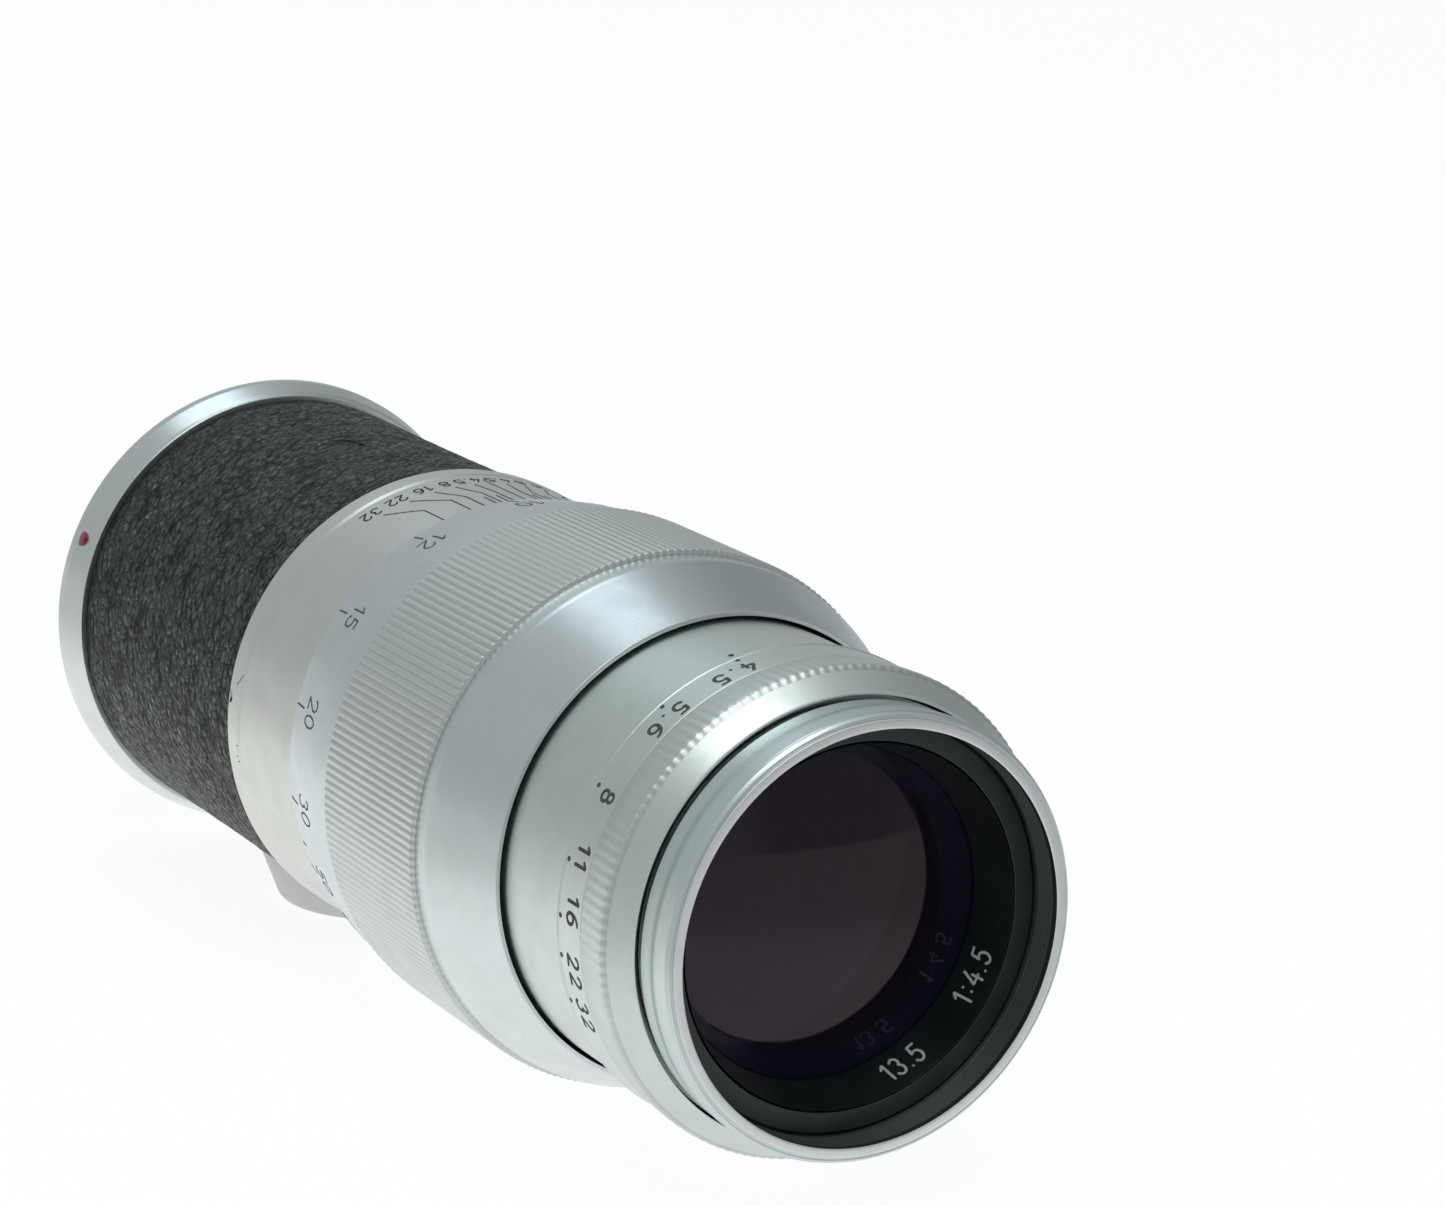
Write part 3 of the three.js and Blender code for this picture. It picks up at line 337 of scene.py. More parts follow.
def coatedGlass(name, body, alpha, coat):
    # a dark body with the coating's violet reflection painted into its colour towards the edge, with smears
    # and hair scratches
    def varying(place):
        smear = place.noise(60, 3)
        radius, _ = aroundAxis(place)
        hair = (place.noise(140, 4, squeeze=(1, 1, 0.15)) - 0.5).math("ABSOLUTE")
        scratch = 1 - hair.step(0.0, glassCoat["scratch"])
        colour = smear.blend(body, tuple(c * 1.25 for c in body))
        # painted reflection: violet towards the edge
        edge = radius.step(*glassCoat["fade"])
        return {"Base Color": edge.blend(colour, glassCoat["edge"]),
                "Roughness": 0.02 + smear * 0.03 + scratch * 0.05, "Alpha": alpha + scratch * 0.04}
    constants = {"IOR": 1.6, "Specular Tint": (*coat, 1), "Specular IOR Level": 0.5}
    return newFinish(name, constants, varying)


finishes["frontGlass"] = coatedGlass("front_glass", (0.01, 0.006, 0.01), 0.55, (1.0, 0.86, 1.0))
finishes["innerGlass"] = coatedGlass("inner_glass", (0.006, 0.004, 0.008), 0.35, (0.8, 0.62, 1.0))
print("finishes made")


def gridFaces(points, around=True, along=True):
    # points is an array (rows, columns, 3) whose rows close on themselves where around is true, and its
    # columns where along is true; gives the corners and the quads between them
    rows, columns = points.shape[:2]
    index = np.arange(rows * columns).reshape(rows, columns)
    here, down = (index, np.roll(index, -1, 0)) if along else (index[:-1], index[1:])
    if around:
        corners = (here, np.roll(here, -1, 1), np.roll(down, -1, 1), down)
    else:
        corners = (here[:, :-1], here[:, 1:], down[:, 1:], down[:, :-1])
    return points.reshape(-1, 3), np.stack([c.ravel() for c in corners], 1)


softAngle = 0.55  # radians; edges that turn further than this stay sharp


def meshPiece(name, grids, finish, paint=None, sharp=softAngle):
    # one object from several grids; paint(centres) gives each face's place in the list finish
    starts = np.cumsum([0] + [len(v) for v, _ in grids])
    corners = np.concatenate([v for v, _ in grids]) * mm
    faces = np.concatenate([f + start for (_, f), start in zip(grids, starts)])
    mesh = bpy.data.meshes.new(name)
    mesh.vertices.add(len(corners))
    mesh.vertices.foreach_set("co", corners.astype(np.float32).ravel())
    mesh.loops.add(faces.size)
    mesh.loops.foreach_set("vertex_index", faces.astype(np.int32).ravel())
    mesh.polygons.add(len(faces))
    mesh.polygons.foreach_set("loop_start", np.arange(0, faces.size, 4, dtype=np.int32))
    mesh.update(calc_edges=True)
    weldMesh(mesh)
    for each in finish if isinstance(finish, list) else [finish]:
        mesh.materials.append(finishes[each])
    piece = addObject(name, mesh)
    smoothPiece(piece, paint, sharp)
    return piece


def smoothPiece(piece, paint=None, sharp=softAngle):
    mesh = piece.data
    if paint:
        centres = np.zeros(len(mesh.polygons) * 3)
        mesh.polygons.foreach_get("center", centres)
        mesh.polygons.foreach_set("material_index", paint(centres.reshape(-1, 3) / mm).astype(np.int32))
    mesh.polygons.foreach_set("use_smooth", np.ones(len(mesh.polygons), bool))
    mesh.set_sharp_from_angle(angle=sharp)


def weldMesh(mesh):
    # joins seams and poles, drops faces without area and turns the faces outwards
    work = bmesh.new()
    work.from_mesh(mesh)
    bmesh.ops.remove_doubles(work, verts=work.verts, dist=2e-7)
    bmesh.ops.dissolve_degenerate(work, edges=work.edges, dist=1e-8)
    bmesh.ops.recalc_face_normals(work, faces=work.faces)
    work.to_mesh(mesh)
    work.free()
    mesh.update()


def carve(piece, grids, paint=None):
    # cuts the shape of these grids out of the piece
    cutter = meshPiece("cutter", grids, "black")
    cut = piece.modifiers.new("cut", "BOOLEAN")
    cut.operation, cut.solver, cut.object = "DIFFERENCE", "EXACT", cutter
    view = bpy.context.evaluated_depsgraph_get()
    carved = bpy.data.meshes.new_from_object(piece.evaluated_get(view))
    piece.modifiers.clear()
    piece.data = carved
    bpy.data.objects.remove(cutter)
    smoothPiece(piece, paint)


cornerSteps = 4  # steps of the curve that rounds a corner
cornerPoints = cornerSteps + 3  # the curve's points and one more beyond each end
plainRounding = 0.06  # where a corner names none, and the length of flat kept beside each curve
edgeShares = (0.4, 0.47)  # of an edge, that a corner's curve, and the flat with it, may take


def softOutline(corners):
    # a closed outline of (radius, y, rounding) corners, each a quadratic curve between the points its
    # rounding away on both sides, with one more point beyond each end that keeps the flat flat
    data = np.array([(c + (plainRounding,))[:3] for c in corners], float)
    point, size = data[:, :2], data[:, 2:]
    before, after = np.roll(point, 1, 0) - point, np.roll(point, -1, 0) - point
    lengths = [np.linalg.norm(v, axis=1, keepdims=True) for v in (before, after)]
    before, after = before / lengths[0], after / lengths[1]
    reach = [np.minimum(size, edgeShares[0] * length) for length in lengths]
    ends = [np.minimum(r + plainRounding, edgeShares[1] * length) for r, length in zip(reach, lengths)]
    start, finish = point + before * reach[0], point + after * reach[1]
    t = np.linspace(0, 1, cornerSteps + 1)[None, :, None]
    curve = (1 - t) ** 2 * start[:, None] + 2 * t * (1 - t) * point[:, None] + t ** 2 * finish[:, None]
    braces = [(point + before * ends[0])[:, None], curve, (point + after * ends[1])[:, None]]
    return np.concatenate(braces, 1).reshape(-1, 2)


def turned(radius, along, angle):
    # round the optical axis from the top: x = r sin a, z = r cos a
    return np.stack([radius * np.sin(angle), along + 0 * angle, radius * np.cos(angle)], -1)


def fullTurn(count):
    return np.linspace(0, 2 * np.pi, count, endpoint=False)


def lathe(outline, sides=192):
    # (radius, y) points turned all the way round
    return turned(outline[:, :1], outline[:, 1:], fullTurn(sides))


def addPiece(name, grids, finish, body, node=None, slot="satin_chrome", **shading):
    # node is the name of the CAD node that the piece stands for
    piece = meshPiece(name, grids, finish, **shading)
    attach(piece, body)
    if node:
        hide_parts(node)
    return piece


def turnedRing(name, corners, finish, body, node, sides=192, **others):
    return addPiece(name, [gridFaces(lathe(softOutline(corners), sides))], finish, body, node, **others)


def fromAxis(centres):
    # radius = root(x^2 + z^2)
    return np.hypot(centres[:, 0], centres[:, 2])


def pin(radius, front, rear, at, angle, sides=24):
    # a closed post along Y, standing at a radius and an angle in degrees
    outline = np.array([(0, front), (radius, front), (radius, rear), (0, rear)], float)
    turn = np.radians(angle)
    return gridFaces(lathe(outline, sides) + [at * np.sin(turn), 0, at * np.cos(turn)], along=False)


def block(low, high):
    # a closed box, as a square tube with each end pinched to its middle
    low, high = np.array(low, float), np.array(high, float)
    loop = np.array([(low[0], low[1]), (high[0], low[1]), (high[0], high[1]), (low[0], high[1])])
    middle = np.repeat(loop.mean(0, keepdims=True), 4, 0)
    rows = [(middle, low[2]), (loop, low[2]), (loop, high[2]), (middle, high[2])]
    return gridFaces(np.array([np.column_stack([flat, np.full(4, z)]) for flat, z in rows]), along=False)


filterThread = {"radius": 19.5, "first": -134.6, "last": -131.6, "pitch": 0.5, "depth": 0.28}


def threadCorners(thread):
    # a zigzag of corners half a pitch apart, from the last turn back to the first
    steps = np.arange(2 * int((thread["last"] - thread["first"]) / thread["pitch"]))
    y = thread["last"] - steps * thread["pitch"] / 2
    r = thread["radius"] + np.where(steps % 2, 0, thread["depth"])
    return [(float(a), float(b), 0.03) for a, b in zip(r, y)]


def rimPaint(centres):
    # the well inside, the lip in front and the neck behind, by radius and y; the neck takes the darker
    # steel as painted shade in the gap behind the rim
    radius, y = fromAxis(centres), centres[:, 1]
    well = (radius < 19.75) & (y > -134.95)
    lip = (radius < 20.43) & (y < -134.7)
    shadedNeck = (radius < 20.35) & (y > -129.6)
    return np.select([well, lip, shadedNeck], [1, 2, 3], 0)


turnedRing("front_rim_ring", [
    (19.5, -135.05, 0.32), (20.4, -135.05, 0.32), (20.46, -134.72, 0.04), (20.62, -134.72, 0.04),
    (20.7, -134.82, 0.05), (21.05, -134.5, 0.22), (21.05, -132.5, 0.5), (20.84, -131.5, 0.4),
    (20.9, -129.72, 0.16), (20.3, -129.62, 0.05), (20.3, -128.3, 0.05),
    (19.95, -128.3, 0.05), (19.95, -130.72, 0.05), (19.6, -130.72, 0.05), (19.6, -131.2, 0.05),
    *threadCorners(filterThread), (19.5, -134.7, 0.05),
], ["rimChrome", "well", "lipChrome", "steel"], "head", "front_rim", paint=rimPaint)

turnedRing("front_cell_body", [
    (17.42, -131.25, 0.05), (19.35, -131.25, 0.1), (19.35, -130.65, 0.05), (19.8, -130.65, 0.05),
    (19.8, -122.45), (18.9, -122.45), (18.9, -110.25), (15.4, -110.25), (15.4, -118.45), (14.8, -118.45),
    (14.8, -122.65), (16.5, -122.65), (16.5, -126.5, 0.03), (17.42, -126.5, 0.03),
], ["black", "well"], "head", "front_cell", slot="black_anodised",
           paint=lambda c: (fromAxis(c) > 17.4) & (c[:, 1] < -130.5))

turnedRing("name_ring_cone", [
    (17.22, -131.25, 0.05), (17.3, -131.0, 0.05), (17.3, -126.55, 0.05), (15.85, -126.55, 0.16),
], "glossBlack", "head", "name_ring", slot="black_anodised")
print("front made")


opticsPlan = {
    # radius, y at the edges of the front and rear face, and their radii of curvature, which are positive
    # where the centre lies behind the face
    "front_element": (16.4, -126.25, -122.75, 46, 300),
    "doublet_front": (15.3, -118.35, -113.95, -70, 60),
    "doublet_rear": (15.3, -113.9, -112.15, 60, 52),
    "rear_element": (14.2, -98.87, -96.47, 80, -46),
}


def lensFace(radius, edge, curve, steps=20):
    # y = edge + sag(r) - sag(radius), sag = curve - root(curve^2 - r^2)
    r = radius * np.linspace(0, 1, steps + 1)
    sag = curve - np.sign(curve) * np.sqrt(curve * curve - r * r)
    return np.column_stack([r, edge + sag - sag[-1]])


for name, (radius, front, rear, frontCurve, rearCurve) in opticsPlan.items():
    outline = np.concatenate([lensFace(radius, front, frontCurve), lensFace(radius, rear, rearCurve)[::-1]])
    glass = "frontGlass" if name == "front_element" else "innerGlass"
    addPiece(name + "_glass", [gridFaces(lathe(outline, 128), along=False)], glass, "head", name,
             "coated_glass")

iris = {
    "blades": 10, "stations": 57, "thick": 0.08, "inner": 17.64, "outer": 21.2,
    "sweep": 132, "overhang": 6,  # degrees from the pivot to the driven pin, and of the round ends beyond
    "front": -108.75, "rise": 3.6,  # y of a blade's driven end, and its climb to the pivot
    "pivot": 19.0, "pin": 0.45,
    "plate": -103.87, "drive": -109.75,  # where the pivots and the driven pins end
    "shoulder": 2.4, "shoulderAt": (-0.05, 0.45),  # extra width near the pivot, its start and length
}


def bladeGrids(first):
    # A crescent that climbs by t^2 (3 - 2 t), so that each blade lies over its neighbour and under the
    # next. Near its pivot the inner edge swells by a sine, which closes the gaps at f/32, and its ends are
    # round: root(1 - (1 - share)^2).
    over, sweep = iris["overhang"], iris["sweep"]
    share = np.linspace(-over / sweep, 1 + over / sweep, iris["stations"])
    t = np.clip(share, 0, 1)
    face = iris["front"] + iris["rise"] * (1 - t * t * (3 - 2 * t))
    turn = np.radians(first + sweep * share)
    ends = np.minimum(share - share[0], share[-1] - share) * sweep / over
    rounded = np.sqrt(np.clip(1 - (1 - np.clip(ends, 0, 1)) ** 2, 0, 1))
    start, length = iris["shoulderAt"]
    inner = iris["inner"] - iris["shoulder"] * np.sin(np.pi * np.clip((share - start) / length, 0, 1))
    middle, half = (inner + iris["outer"]) / 2, (iris["outer"] - inner) / 2 * rounded
    radii = np.stack([middle - half, middle + half, middle + half, middle - half], 1)
    rise = face[:, None] + np.array([0, 0, 1, 1]) * iris["thick"]
    inside = iris["front"] + iris["thick"] / 2
    return [gridFaces(turned(radii, rise, turn[:, None]), along=False),
            pin(iris["pin"], inside + iris["rise"], iris["plate"], iris["pivot"], first),
            pin(iris["pin"], iris["drive"], inside, iris["pivot"], first + sweep)]


for k in range(iris["blades"]):
    number = f"{k + 1:02d}"
    addPiece("blade_leaf_" + number, bladeGrids(360 / iris["blades"] * k), "blade", "blade_" + number,
             "iris_blade_" + number, "black_anodised")

darkRings = {
    # the piece's name: the node that it replaces, and its corners
    "iris_plate_disc": ("iris_plate", [(14.7, -104.87), (21.3, -104.87), (21.3, -103.67), (14.7, -103.67)]),
    "rear_cell_body": ("rear_cell", [
        (13.6, -103.47), (21.4, -103.47), (21.4, -100.67), (17.2, -100.67), (17.2, -93.97),
        (14.3, -93.97, 0.1), (14.3, -99.17), (13.6, -99.17)]),
    "rear_retainer_ring": ("rear_retainer", [
        (13.0, -96.17), (14.2, -96.17), (14.2, -94.77, 0.1), (13.0, -94.77, 0.2)]),
    "baffle_ring": ("light_baffle", [(15.5, -79.38), (19.1, -79.38), (19.1, -77.88), (15.5, -77.88)]),
}
for name, (node, corners) in darkRings.items():
    turnedRing(name, corners, "black", "head", node, slot="black_anodised")
print("diaphragm made")


def ribbedRing(corners, ribs, depth, edgeDepth, reach, sharpness, front, rear, fadeFront, fadeRear, band,
               perRib=8):
    # The radius falls by depth * (half of 1 - cos of the rib's angle) ^ sharpness between the ribs. The
    # depth is exponential from its value at the front edge, and fades out at both ends of the grip.
    outline = softOutline(corners)
    radius, along = outline[:, :1], outline[:, 1:]
    angle = fullTurn(ribs * perRib)
    wave = (0.5 - 0.5 * np.cos(angle * ribs)) ** sharpness
    near = np.clip((along - front) / fadeFront, 0, 1)
    near = near * np.clip((rear - along) / fadeRear, 0, 1)
    extra = np.exp(-np.abs(along - front) / reach)
    sink = (depth + (edgeDepth - depth) * extra) * wave * near
    outer = radius > radius.max() - band
    return gridFaces(turned(radius - sink * outer, along, angle))


apertureGrip = {"ribs": 147, "depth": 0.032, "edgeDepth": 0.22, "reach": 0.3, "sharpness": 1.0,
                "front": -127.3, "rear": -122.4, "fadeFront": 0.3, "fadeRear": 0.8, "band": 0.75}
apertureBodyCorners = [
    (21.1, -128.9, 0.04), (21.1, -129.27, 0.12), (21.35, -129.2, 0.22), (22.98, -127.32, 0.04),
    (22.7, -127.0, 0.02), (22.7, -122.9, 0.02), (23.14, -122.6, 0.05), (23.12, -118.42, 0.03),
    (23.22, -118.3, 0.08), (23.2, -118.06, 0.08), (22.9, -118.0, 0.05), (21.1, -118.0, 0.05),
]
apertureGripCorners = [
    (22.5, -127.6, 0.03), (22.72, -127.55, 0.03), (23.38, -126.86, 0.05), (23.4, -126.6, 0.08),
    (23.38, -126.0, 0.1), (23.3, -124.6, 0.5), (23.18, -122.7, 0.2), (22.5, -122.5, 0.05),
]
turnedRing("aperture_ring_body", apertureBodyCorners, "headChrome", "aperture", "aperture_ring")
addPiece("aperture_grip", [ribbedRing(apertureGripCorners, **apertureGrip)], "apertureRibs", "aperture")
print("aperture ring made")


turnedRing("head_tube", [
    (19.9, -127.9), (20.9, -127.9, 0.1), (20.9, -117.7, 0.05), (22.6, -117.7, 0.12), (22.6, -92.88, 0.2),
    (21.5, -92.88), (21.5, -109.25), (19.9, -109.25),
], "headChrome", "head", "head_barrel")


def carrierPaint(centres):
    # brass outside, black in the bore
    return fromAxis(centres) < 19.4


carrier = turnedRing("helicoid_tube", [
    (19.2, -99.38), (21.4, -99.38), (21.4, -92.78), (21.6, -92.78), (21.6, -50.88, 0.2), (19.2, -50.88, 0.3),
], ["brass", "black"], "head", "helicoid_carrier", slot="brass", paint=carrierPaint)
carve(carrier, [block((-2.2, -71.5, 18.2), (2.2, -49.88, 22.6))], paint=carrierPaint)


focusGrip = {"ribs": 212, "depth": 0.075, "edgeDepth": 0.16, "reach": 0.3, "sharpness": 1.3,
             "front": -95.6, "rear": -75.5, "fadeFront": 0.05, "fadeRear": 0.3, "band": 1.0}
scaleFace = {"front": -75.55, "rear": -63.2, "radius": 26.6, "fall": 1.48, "power": 1.7, "stations": 14}


def scaleRadius(along):
    # radius = front radius - fall * (share of the way back) ^ power
    share = np.clip((along - scaleFace["front"]) / (scaleFace["rear"] - scaleFace["front"]), 0, 1)
    return scaleFace["radius"] - scaleFace["fall"] * share ** scaleFace["power"]


scaleStations = np.linspace(scaleFace["front"], scaleFace["rear"], scaleFace["stations"] + 2)[1:-1]
focusBodyCorners = [
    (22.99, -106.4, 0.06), (23.42, -106.4, 0.08), (26.42, -97.7, 0.35), (26.5, -95.55, 0.1),
    (26.3, -95.3, 0.02), (26.3, -75.8, 0.02), (26.6, -75.55, 0.1),
    *[(float(scaleRadius(y)), float(y), 0.5) for y in scaleStations],
    (25.12, -63.2, 0.12), (24.8, -63.2, 0.05), (24.8, -84.9), (23.02, -84.9), (23.02, -106.0, 0.05),
]
focusGripCorners = [
    (26.1, -95.5, 0.05), (26.6, -95.5, 0.04), (27.0, -95.32, 0.05), (27.0, -75.9, 0.12),
    (26.55, -75.6, 0.06), (26.1, -75.6, 0.05),
]
turnedRing("focus_ring_body", focusBodyCorners, ["gripChrome", "numberChrome"], "focusing", "focus_ring",
           sides=256, paint=lambda c: c[:, 1] > -75.6)
addPiece("focus_grip", [ribbedRing(focusGripCorners, **focusGrip)], "focusRibs", "focusing")
print("focusing ring made")


turnedRing("depth_scale_band", [
    (23.9, -62.9), (24.75, -62.9, 0.06), (24.85, -62.7, 0.06), (24.85, -50.0, 0.03), (24.97, -49.45, 0.03),
    (24.97, -47.0, 0.12), (24.85, -46.8, 0.08), (23.9, -46.8),
], "scaleChrome", "barrel", "depth_scale_ring")

foot = {
    "station": -30.0, "bottom": 27.25, "seat": 24.1,  # drops of its bottom and of the barrel's side
    "radius": 9.0, "flare": 0.46,  # at the bottom, and its growth for each millimetre up
    "thread": 4.76,
    "gap": 0.25, "cut": (19.0, 29.25),  # to the leather, which is cut away between these drops
}


def upright(points):
    # hangs a shape made round the Y axis at the foot's station
    return np.stack([points[..., 0], foot["station"] + points[..., 2], -points[..., 1]], -1)


def footGrid(sides=160, rows=8):
    # rings from the thread out over the bottom edge, up the flared side to the barrel, whose round they
    # follow: drop = root(seat^2 - x^2), and back to the thread
    angle = fullTurn(sides)
    drop = np.full(sides, foot["seat"])
    for _ in range(30):
        radius = foot["radius"] + foot["flare"] * (foot["bottom"] - drop)
        drop = np.sqrt(foot["seat"] ** 2 - (radius * np.sin(angle)) ** 2)
    corners = [
        (foot["thread"], 24.0), (foot["thread"], 26.15, 0.05), (5.76, 26.15, 0.05), (5.76, 27.25, 0.12),
        (8.7, 27.25, 0.22), (9.16, 26.85, 0.2), (10.2, 24.6, 0.05),
    ]
    # from the end of the first corner to the end of the last but one
    flat = softOutline(corners)[cornerPoints - 3:cornerPoints * (len(corners) - 1) - 1]
    lower = [(np.full(sides, r), np.full(sides, d)) for r, d in flat]
    share = np.linspace(0, 1, rows + 1)[1:, None]
    edgeRadius, edgeDrop = flat[-1]
    side = list(zip(edgeRadius + share * (radius - edgeRadius), edgeDrop + share * (drop - edgeDrop)))
    back = radius + share * (foot["thread"] - radius)
    top = [(a, np.sqrt(foot["seat"] ** 2 - (a * np.sin(angle)) ** 2)) for a in back]
    rings = np.array(lower + side + top)
    return upright(turned(rings[:, 0], rings[:, 1], angle))


addPiece("tripod_foot_boss", [gridFaces(footGrid())], "footChrome", "barrel", "tripod_foot")
bushCorners = [
    (4.66, 24.2), (4.66, 26.25), (5.56, 26.25), (5.56, 27.15, 0.1), (3.25, 27.15, 0.1),
    *[(3.05 + 0.25 * (i % 2), 27.0 - 0.32 * i, 0.03) for i in range(9)],  # the thread's zigzag
]
bushGrid = upright(lathe(softOutline(bushCorners), 96))
bush = addPiece("tripod_bush_ring", [gridFaces(bushGrid)], "steel", "barrel", "tripod_bush", "steel")
carve(bush, [block((-0.5, -36, -27.6), (0.5, -24, -26.5))])


def waveSum(random, turn, along, length):
    # the sum of cos(m a + k y + phase) over waves in random directions, m a whole number
    ways = random.uniform(0, 2 * np.pi, leatherFolds["waves"])
    size = 2 * np.pi / length * random.uniform(0.75, 1.25, len(ways))
    around = np.round(cover["radius"] * size * np.cos(ways) * leatherFolds["stretch"])
    phase = random.uniform(0, 2 * np.pi, len(ways))
    total = 0 * turn * along
    for m, k, p in zip(around, size * np.sin(ways), phase):
        total = total + np.cos(m * turn + k * along + p)
    return total / np.sqrt(len(ways) / 2)


def waistRadius(share):
    # radius = end radius - waist * sin(half a turn * share of the way back)
    return cover["radius"] - cover["waist"] * np.sin(np.pi * share)


def leatherGrid():
    # radius = waist + swell * slow waves - sink * exp(-(waves / width)^2), a crease where the waves pass 0
    front, length = cover["front"], cover["length"]
    bare, edge = cover["bare"], cover["edge"]
    share = np.linspace(0, 1, leatherFolds["stations"] + 2)[1:-1]
    waist = [(float(waistRadius(s)), float(front + length * s), 1.5) for s in share]
    outline = softOutline([(bare, front), (edge, front, 0.2), *waist,
                           (edge, front + length, 0.2), (bare, front + length)])
    radius, along = outline[:, :1], outline[:, 1:]
    turn = fullTurn(leatherFolds["sides"])
    random = np.random.default_rng(leatherFolds["seed"])
    net = waveSum(random, turn, along, leatherFolds["cell"])
    slow = waveSum(random, turn, along, 3 * leatherFolds["cell"])
    outer = np.clip((radius - bare - 0.2) / 0.2, 0, 1)
    swell = leatherFolds["swell"] * (np.clip(slow, -2, 2) - 1)
    sink = leatherFolds["sink"] * np.exp(-(net / leatherFolds["width"]) ** 2)
    return gridFaces(turned(radius + (swell - sink) * outer, along, turn))


wrap = addPiece("leather_wrap", [leatherGrid()], "leather", "barrel", "leather_cover", "leather")
high, low = foot["cut"]
reach = [foot["radius"] + foot["gap"] + foot["flare"] * (foot["bottom"] - drop) for drop in (high, low)]
blank = np.array([(0, high), (reach[0], high), (reach[1], low), (0, low)])
carve(wrap, [gridFaces(upright(lathe(blank, 96)), along=False)])
print("barrel made")


bayonet = {
    "lugs": 4, "first": 20, "span": 50, "tube": 20.3,  # angles in degrees round from the top
    "screws": 4, "screwRing": 19.35, "screwFirst": 30,
    "notch": (23.9, -128),  # radius and angle
}


def bayonetGrid():
    # a turned outline whose lugs stand off the tube only between their two angles
    outline = softOutline([
        (18.4, -9.1), (22.7, -9.1), (22.7, -4.8), (25.0, -4.8, 0.12), (25.22, -4.3, 0.1),
        (25.95, -1.62, 0.12), (26.0, -0.45, 0.1), (25.62, 0.0, 0.08), (20.3, 0.0, 0.08),
        (20.3, 2.9, 0.05), (21.85, 2.9, 0.08),
        (21.85, 4.4, 0.08), (20.3, 4.4, 0.05), (20.3, 4.9, 0.1), (18.4, 4.9, 0.1),
    ])
    starts = bayonet["first"] + 360 / bayonet["lugs"] * np.arange(bayonet["lugs"])
    ends = starts + bayonet["span"]
    edges = np.concatenate([starts, ends])
    degrees = np.unique(np.concatenate([np.arange(0, 360, 1.5) + 0.7, edges - 0.03, edges + 0.03]))
    lugged = ((degrees[:, None] > starts) & (degrees[:, None] < ends)).any(1)
    radius, along = outline[:, :1], outline[:, 1:]
    onLug = (along > 1.0) & (radius > bayonet["tube"])
    radius = np.where(onLug & ~lugged, bayonet["tube"], radius + 0 * degrees)
    return turned(radius, along, np.radians(degrees))


mount = addPiece("bayonet_flange", [gridFaces(bayonetGrid())], "flangeChrome", "barrel", "bayonet_mount")
screwAngles = bayonet["screwFirst"] + 360 / bayonet["screws"] * np.arange(bayonet["screws"])
screwHoles = [pin(0.86, 4.0, 6.0, bayonet["screwRing"], at) for at in screwAngles]
carve(mount, [pin(1.5, -1.6, 1.0, *bayonet["notch"], 48)] + screwHoles)
for k, at in enumerate(screwAngles):
    screw = addPiece(f"mount_screw_head_{k + 1}", [pin(0.75, 2.0, 4.72, bayonet["screwRing"], at, 32)],
                     "steel", "barrel", f"mount_screw_{k + 1}", "steel")
    turn = np.radians(at)
    x, z = bayonet["screwRing"] * np.array([np.sin(turn), np.cos(turn)])
    carve(screw, [block((x - 0.12, 4.42, z - 1), (x + 0.12, 5.2, z + 1))])

coupler = turnedRing("rangefinder_tube", [
    (16.7, -20.6), (21.75, -20.6), (21.75, -10.6), (18.2, -10.6), (18.2, 5.6, 0.2), (16.7, 5.6, 0.2),
], "brass", "rangefinder", "rangefinder_ring", slot="brass")
carve(coupler, [block((-2.2, -21.6, 19.2), (2.2, -9.6, 22.8))])

bead = {"radius": 0.85, "height": 1.52, "crown": 0.1, "seat": 24.27, "y": -2.4, "angle": -71.3}


def beadGrid():
    # a low dome, height + crown * cos, on a post along +Z, turned to its angle
    share = np.linspace(0, np.pi / 2, 9)
    dome = np.column_stack([bead["radius"] * np.sin(share), bead["height"] + bead["crown"] * np.cos(share)])
    points = lathe(np.concatenate([dome, [(bead["radius"], 0.2), (0.0, 0.2)]]), 40)
    x, z, y = points[..., 0], points[..., 1] + bead["seat"], points[..., 2]
    turn = np.radians(bead["angle"])
    across, out = x * np.cos(turn) + z * np.sin(turn), z * np.cos(turn) - x * np.sin(turn)
    return np.stack([across, y + bead["y"], out], -1)


addPiece("red_bead", [gridFaces(beadGrid(), along=False)], "red", "barrel", "red_index_bead", "red_enamel")
print("bayonet made")


